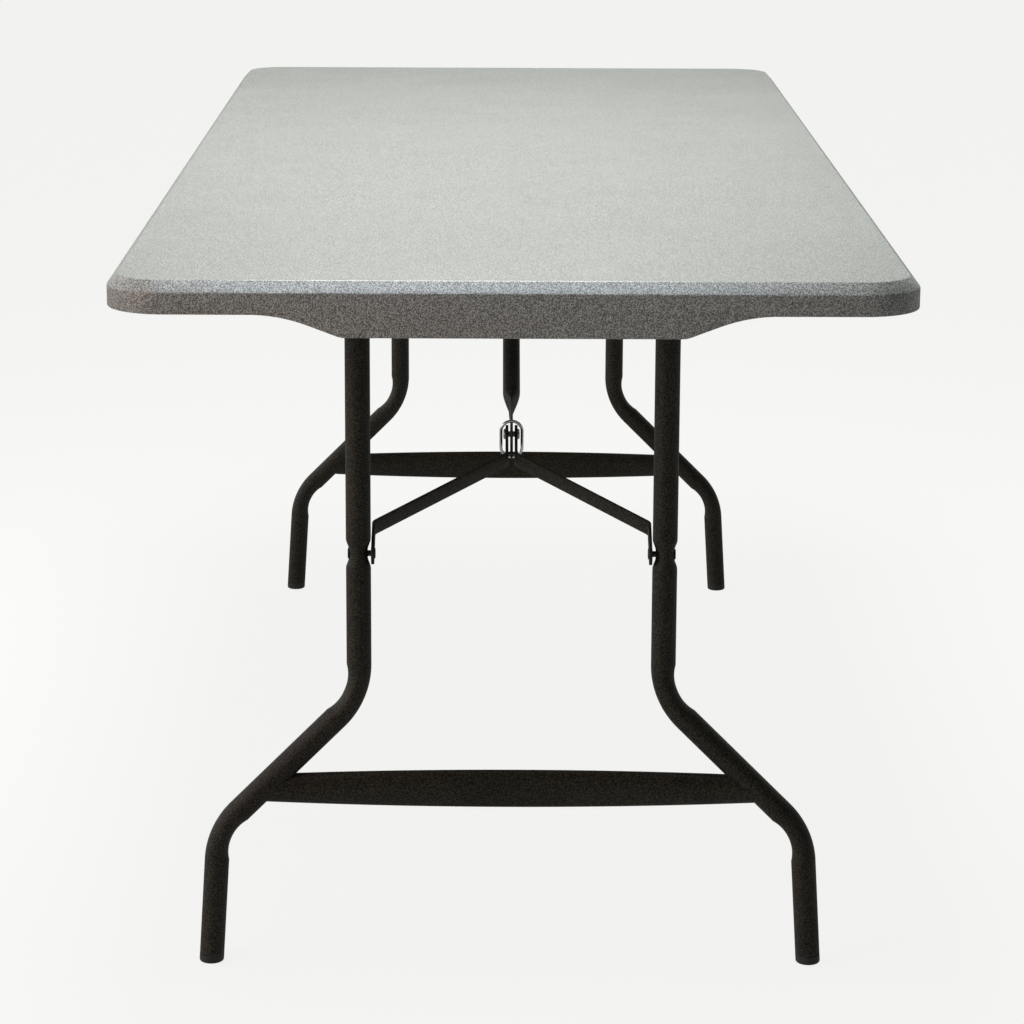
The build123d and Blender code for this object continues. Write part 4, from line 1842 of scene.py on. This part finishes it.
LAMPS = (
    Softbox(
        name="overhead",
        at=(-0.08, 0.08, 2.0),
        aim=(-0.08, 0.08, 0.7),
        size=(0.7, 1.7),
        watts=33.5,
        colour=(1.0, 0.998, 0.965),
    ),
    Softbox(
        name="front_edge",
        at=(-0.18, -1.12, 1.95),
        aim=(-0.18, -1.05, 0.7),
        size=(1.0, 0.3),
        watts=5.5,
        colour=(0.78, 0.90, 1.0),
    ),
    Softbox(
        name="front_left",
        at=(-1.45, -1.75, 1.1),
        aim=(-0.4, -0.9, 0.6),
        size=(0.7, 1.0),
        watts=6.5,
        colour=(1.0, 0.66, 0.50),
    ),
    Softbox(
        name="edge_glint",
        at=(-0.12, -1.34, 1.95),
        aim=(-0.12, -0.91, 0.73),
        size=(0.95, 0.25),
        watts=6.0,
        colour=(0.72, 0.86, 1.0),
        glint_only=True,
    ),
)


@dataclass
class Studio:
    """White studio: floor, soft lights and the camera.

    Attributes:
        camera_at: The camera's place, in metres.
        pitch: How far it looks down, in degrees.
        yaw: How far it turns right of +Y, in degrees.
        roll: How far it tilts, in degrees.
        lens: Focal length for a 36 mm wide sensor, in millimetres.
    """

    camera_at: tuple[float, float, float] = (-0.0171, -3.9074, 1.2585)
    pitch: float = 13.86
    yaw: float = 0.309
    roll: float = 0.270
    lens: float = 115.9

    def floor(self) -> None:
        """A wide pale floor that the table stands on."""
        deselect_everything()
        bpy.ops.mesh.primitive_circle_add(vertices=96, radius=30.0, fill_type="NGON", location=(0, 0, 0))
        floor = take_primitive("studio_floor")
        made = bpy.data.materials.new("studio_paper")
        made.use_nodes = True
        made.node_tree.nodes.clear()
        sheet = NodeSheet(made.node_tree)
        paper = sheet.add("ShaderNodeBsdfDiffuse", Color=(0.12, 0.12, 0.117, 1.0))
        seen = sheet.add("ShaderNodeLightPath").outputs["Is Camera Ray"]
        strength = sheet.math("ADD", sheet.math("MULTIPLY", seen, 0.57), 0.28)
        glow = sheet.add("ShaderNodeEmission", Color=(1.0, 1.0, 0.985, 1.0), Strength=strength)
        both = sheet.add("ShaderNodeAddShader")
        sheet.feed(both.inputs[0], paper.outputs[0])
        sheet.feed(both.inputs[1], glow.outputs[0])
        clear = sheet.add("ShaderNodeBsdfTransparent")
        under = sheet.add("ShaderNodeNewGeometry").outputs["Backfacing"]
        one_sided = sheet.add("ShaderNodeMixShader")
        sheet.feed(one_sided.inputs[0], under)
        sheet.feed(one_sided.inputs[1], both.outputs[0])
        sheet.feed(one_sided.inputs[2], clear.outputs[0])
        out = sheet.add("ShaderNodeOutputMaterial")
        sheet.feed(out.inputs["Surface"], one_sided.outputs[0])
        floor.data.materials.append(made)
        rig.stage(floor)

    def surroundings(self) -> None:
        """The room: white to look at, bright behind the table and dim in front of it."""
        world = bpy.data.worlds.new("studio_room")
        bpy.context.scene.world = world
        world.use_nodes = True
        world.node_tree.nodes.clear()
        sheet = NodeSheet(world.node_tree)
        way = sheet.add("ShaderNodeTexCoord").outputs["Generated"]
        split = sheet.add("ShaderNodeSeparateXYZ")
        sheet.feed(split.inputs[0], way)
        behind = sheet.ramp(split.outputs["Y"], -0.35, 0.9)
        light = sheet.mix(behind, (0.035, 0.031, 0.027, 1.0), (0.56, 0.60, 0.57, 1.0))
        left = sheet.ramp(sheet.math("MULTIPLY", split.outputs["X"], -1.0), 0.5, 0.95)
        light = sheet.mix(left, light, (1.5, 1.5, 1.55, 1.0))
        seen = sheet.add("ShaderNodeLightPath").outputs["Is Camera Ray"]
        colour = sheet.mix(seen, light, (0.975, 0.98, 0.975, 1.0))
        back = sheet.add("ShaderNodeBackground", Color=colour, Strength=1.0)
        out = sheet.add("ShaderNodeOutputWorld")
        sheet.feed(out.inputs["Surface"], back.outputs[0])

    def lights(self) -> None:
        """Hangs every softbox."""
        for lamp in LAMPS:
            lamp.hang()

    def camera(self) -> None:
        """The camera, at the height of a standing person's chest, looking down the length."""
        data = bpy.data.cameras.new("view_down_the_length")
        data.sensor_width = 36.0
        data.lens = self.lens
        data.clip_end = 200.0
        camera = bpy.data.objects.new("view_down_the_length", data)
        turn = (
            Matrix.Rotation(math.radians(-self.yaw), 4, "Z")
            @ Matrix.Rotation(math.radians(90 - self.pitch), 4, "X")
            @ Matrix.Rotation(math.radians(self.roll), 4, "Z")
        )
        camera.matrix_world = Matrix.Translation(Vector(self.camera_at)) @ turn
        bpy.context.scene.collection.objects.link(camera)
        bpy.context.scene.camera = camera

    def build(self) -> None:
        """Sets up the whole studio."""
        self.floor()
        self.surroundings()
        self.lights()
        self.camera()
        bpy.context.scene.view_settings.view_transform = "Standard"


def write_sizes(before: tuple[Vector, Vector], after: tuple[Vector, Vector]) -> None:
    """Writes the frame's box and the finished model's box.

    Args:
        before: Corners of the frame.
        after: Corners of the finished model.
    """
    sizes = {
        "cad_box": [list(before[0]), list(before[1])],
        "visual_box": [list(after[0]), list(after[1])],
    }
    with open(SIZE_FILE, "w") as handle:
        json.dump(sizes, handle, indent=1)


def main() -> None:
    """Builds the table's looks and the studio."""
    cad_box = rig.bounds()
    shop = Paintshop()
    shop.dress_frame()
    top = MouldedTop().build()
    shop.hand_over(top, "blow_molded_top")
    LegFrame().build(shop)
    Brace().build(shop)
    SoftenedParts().build(shop)
    Studio().build()
    write_sizes(cad_box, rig.bounds())


if __name__ == "__main__":
    main()
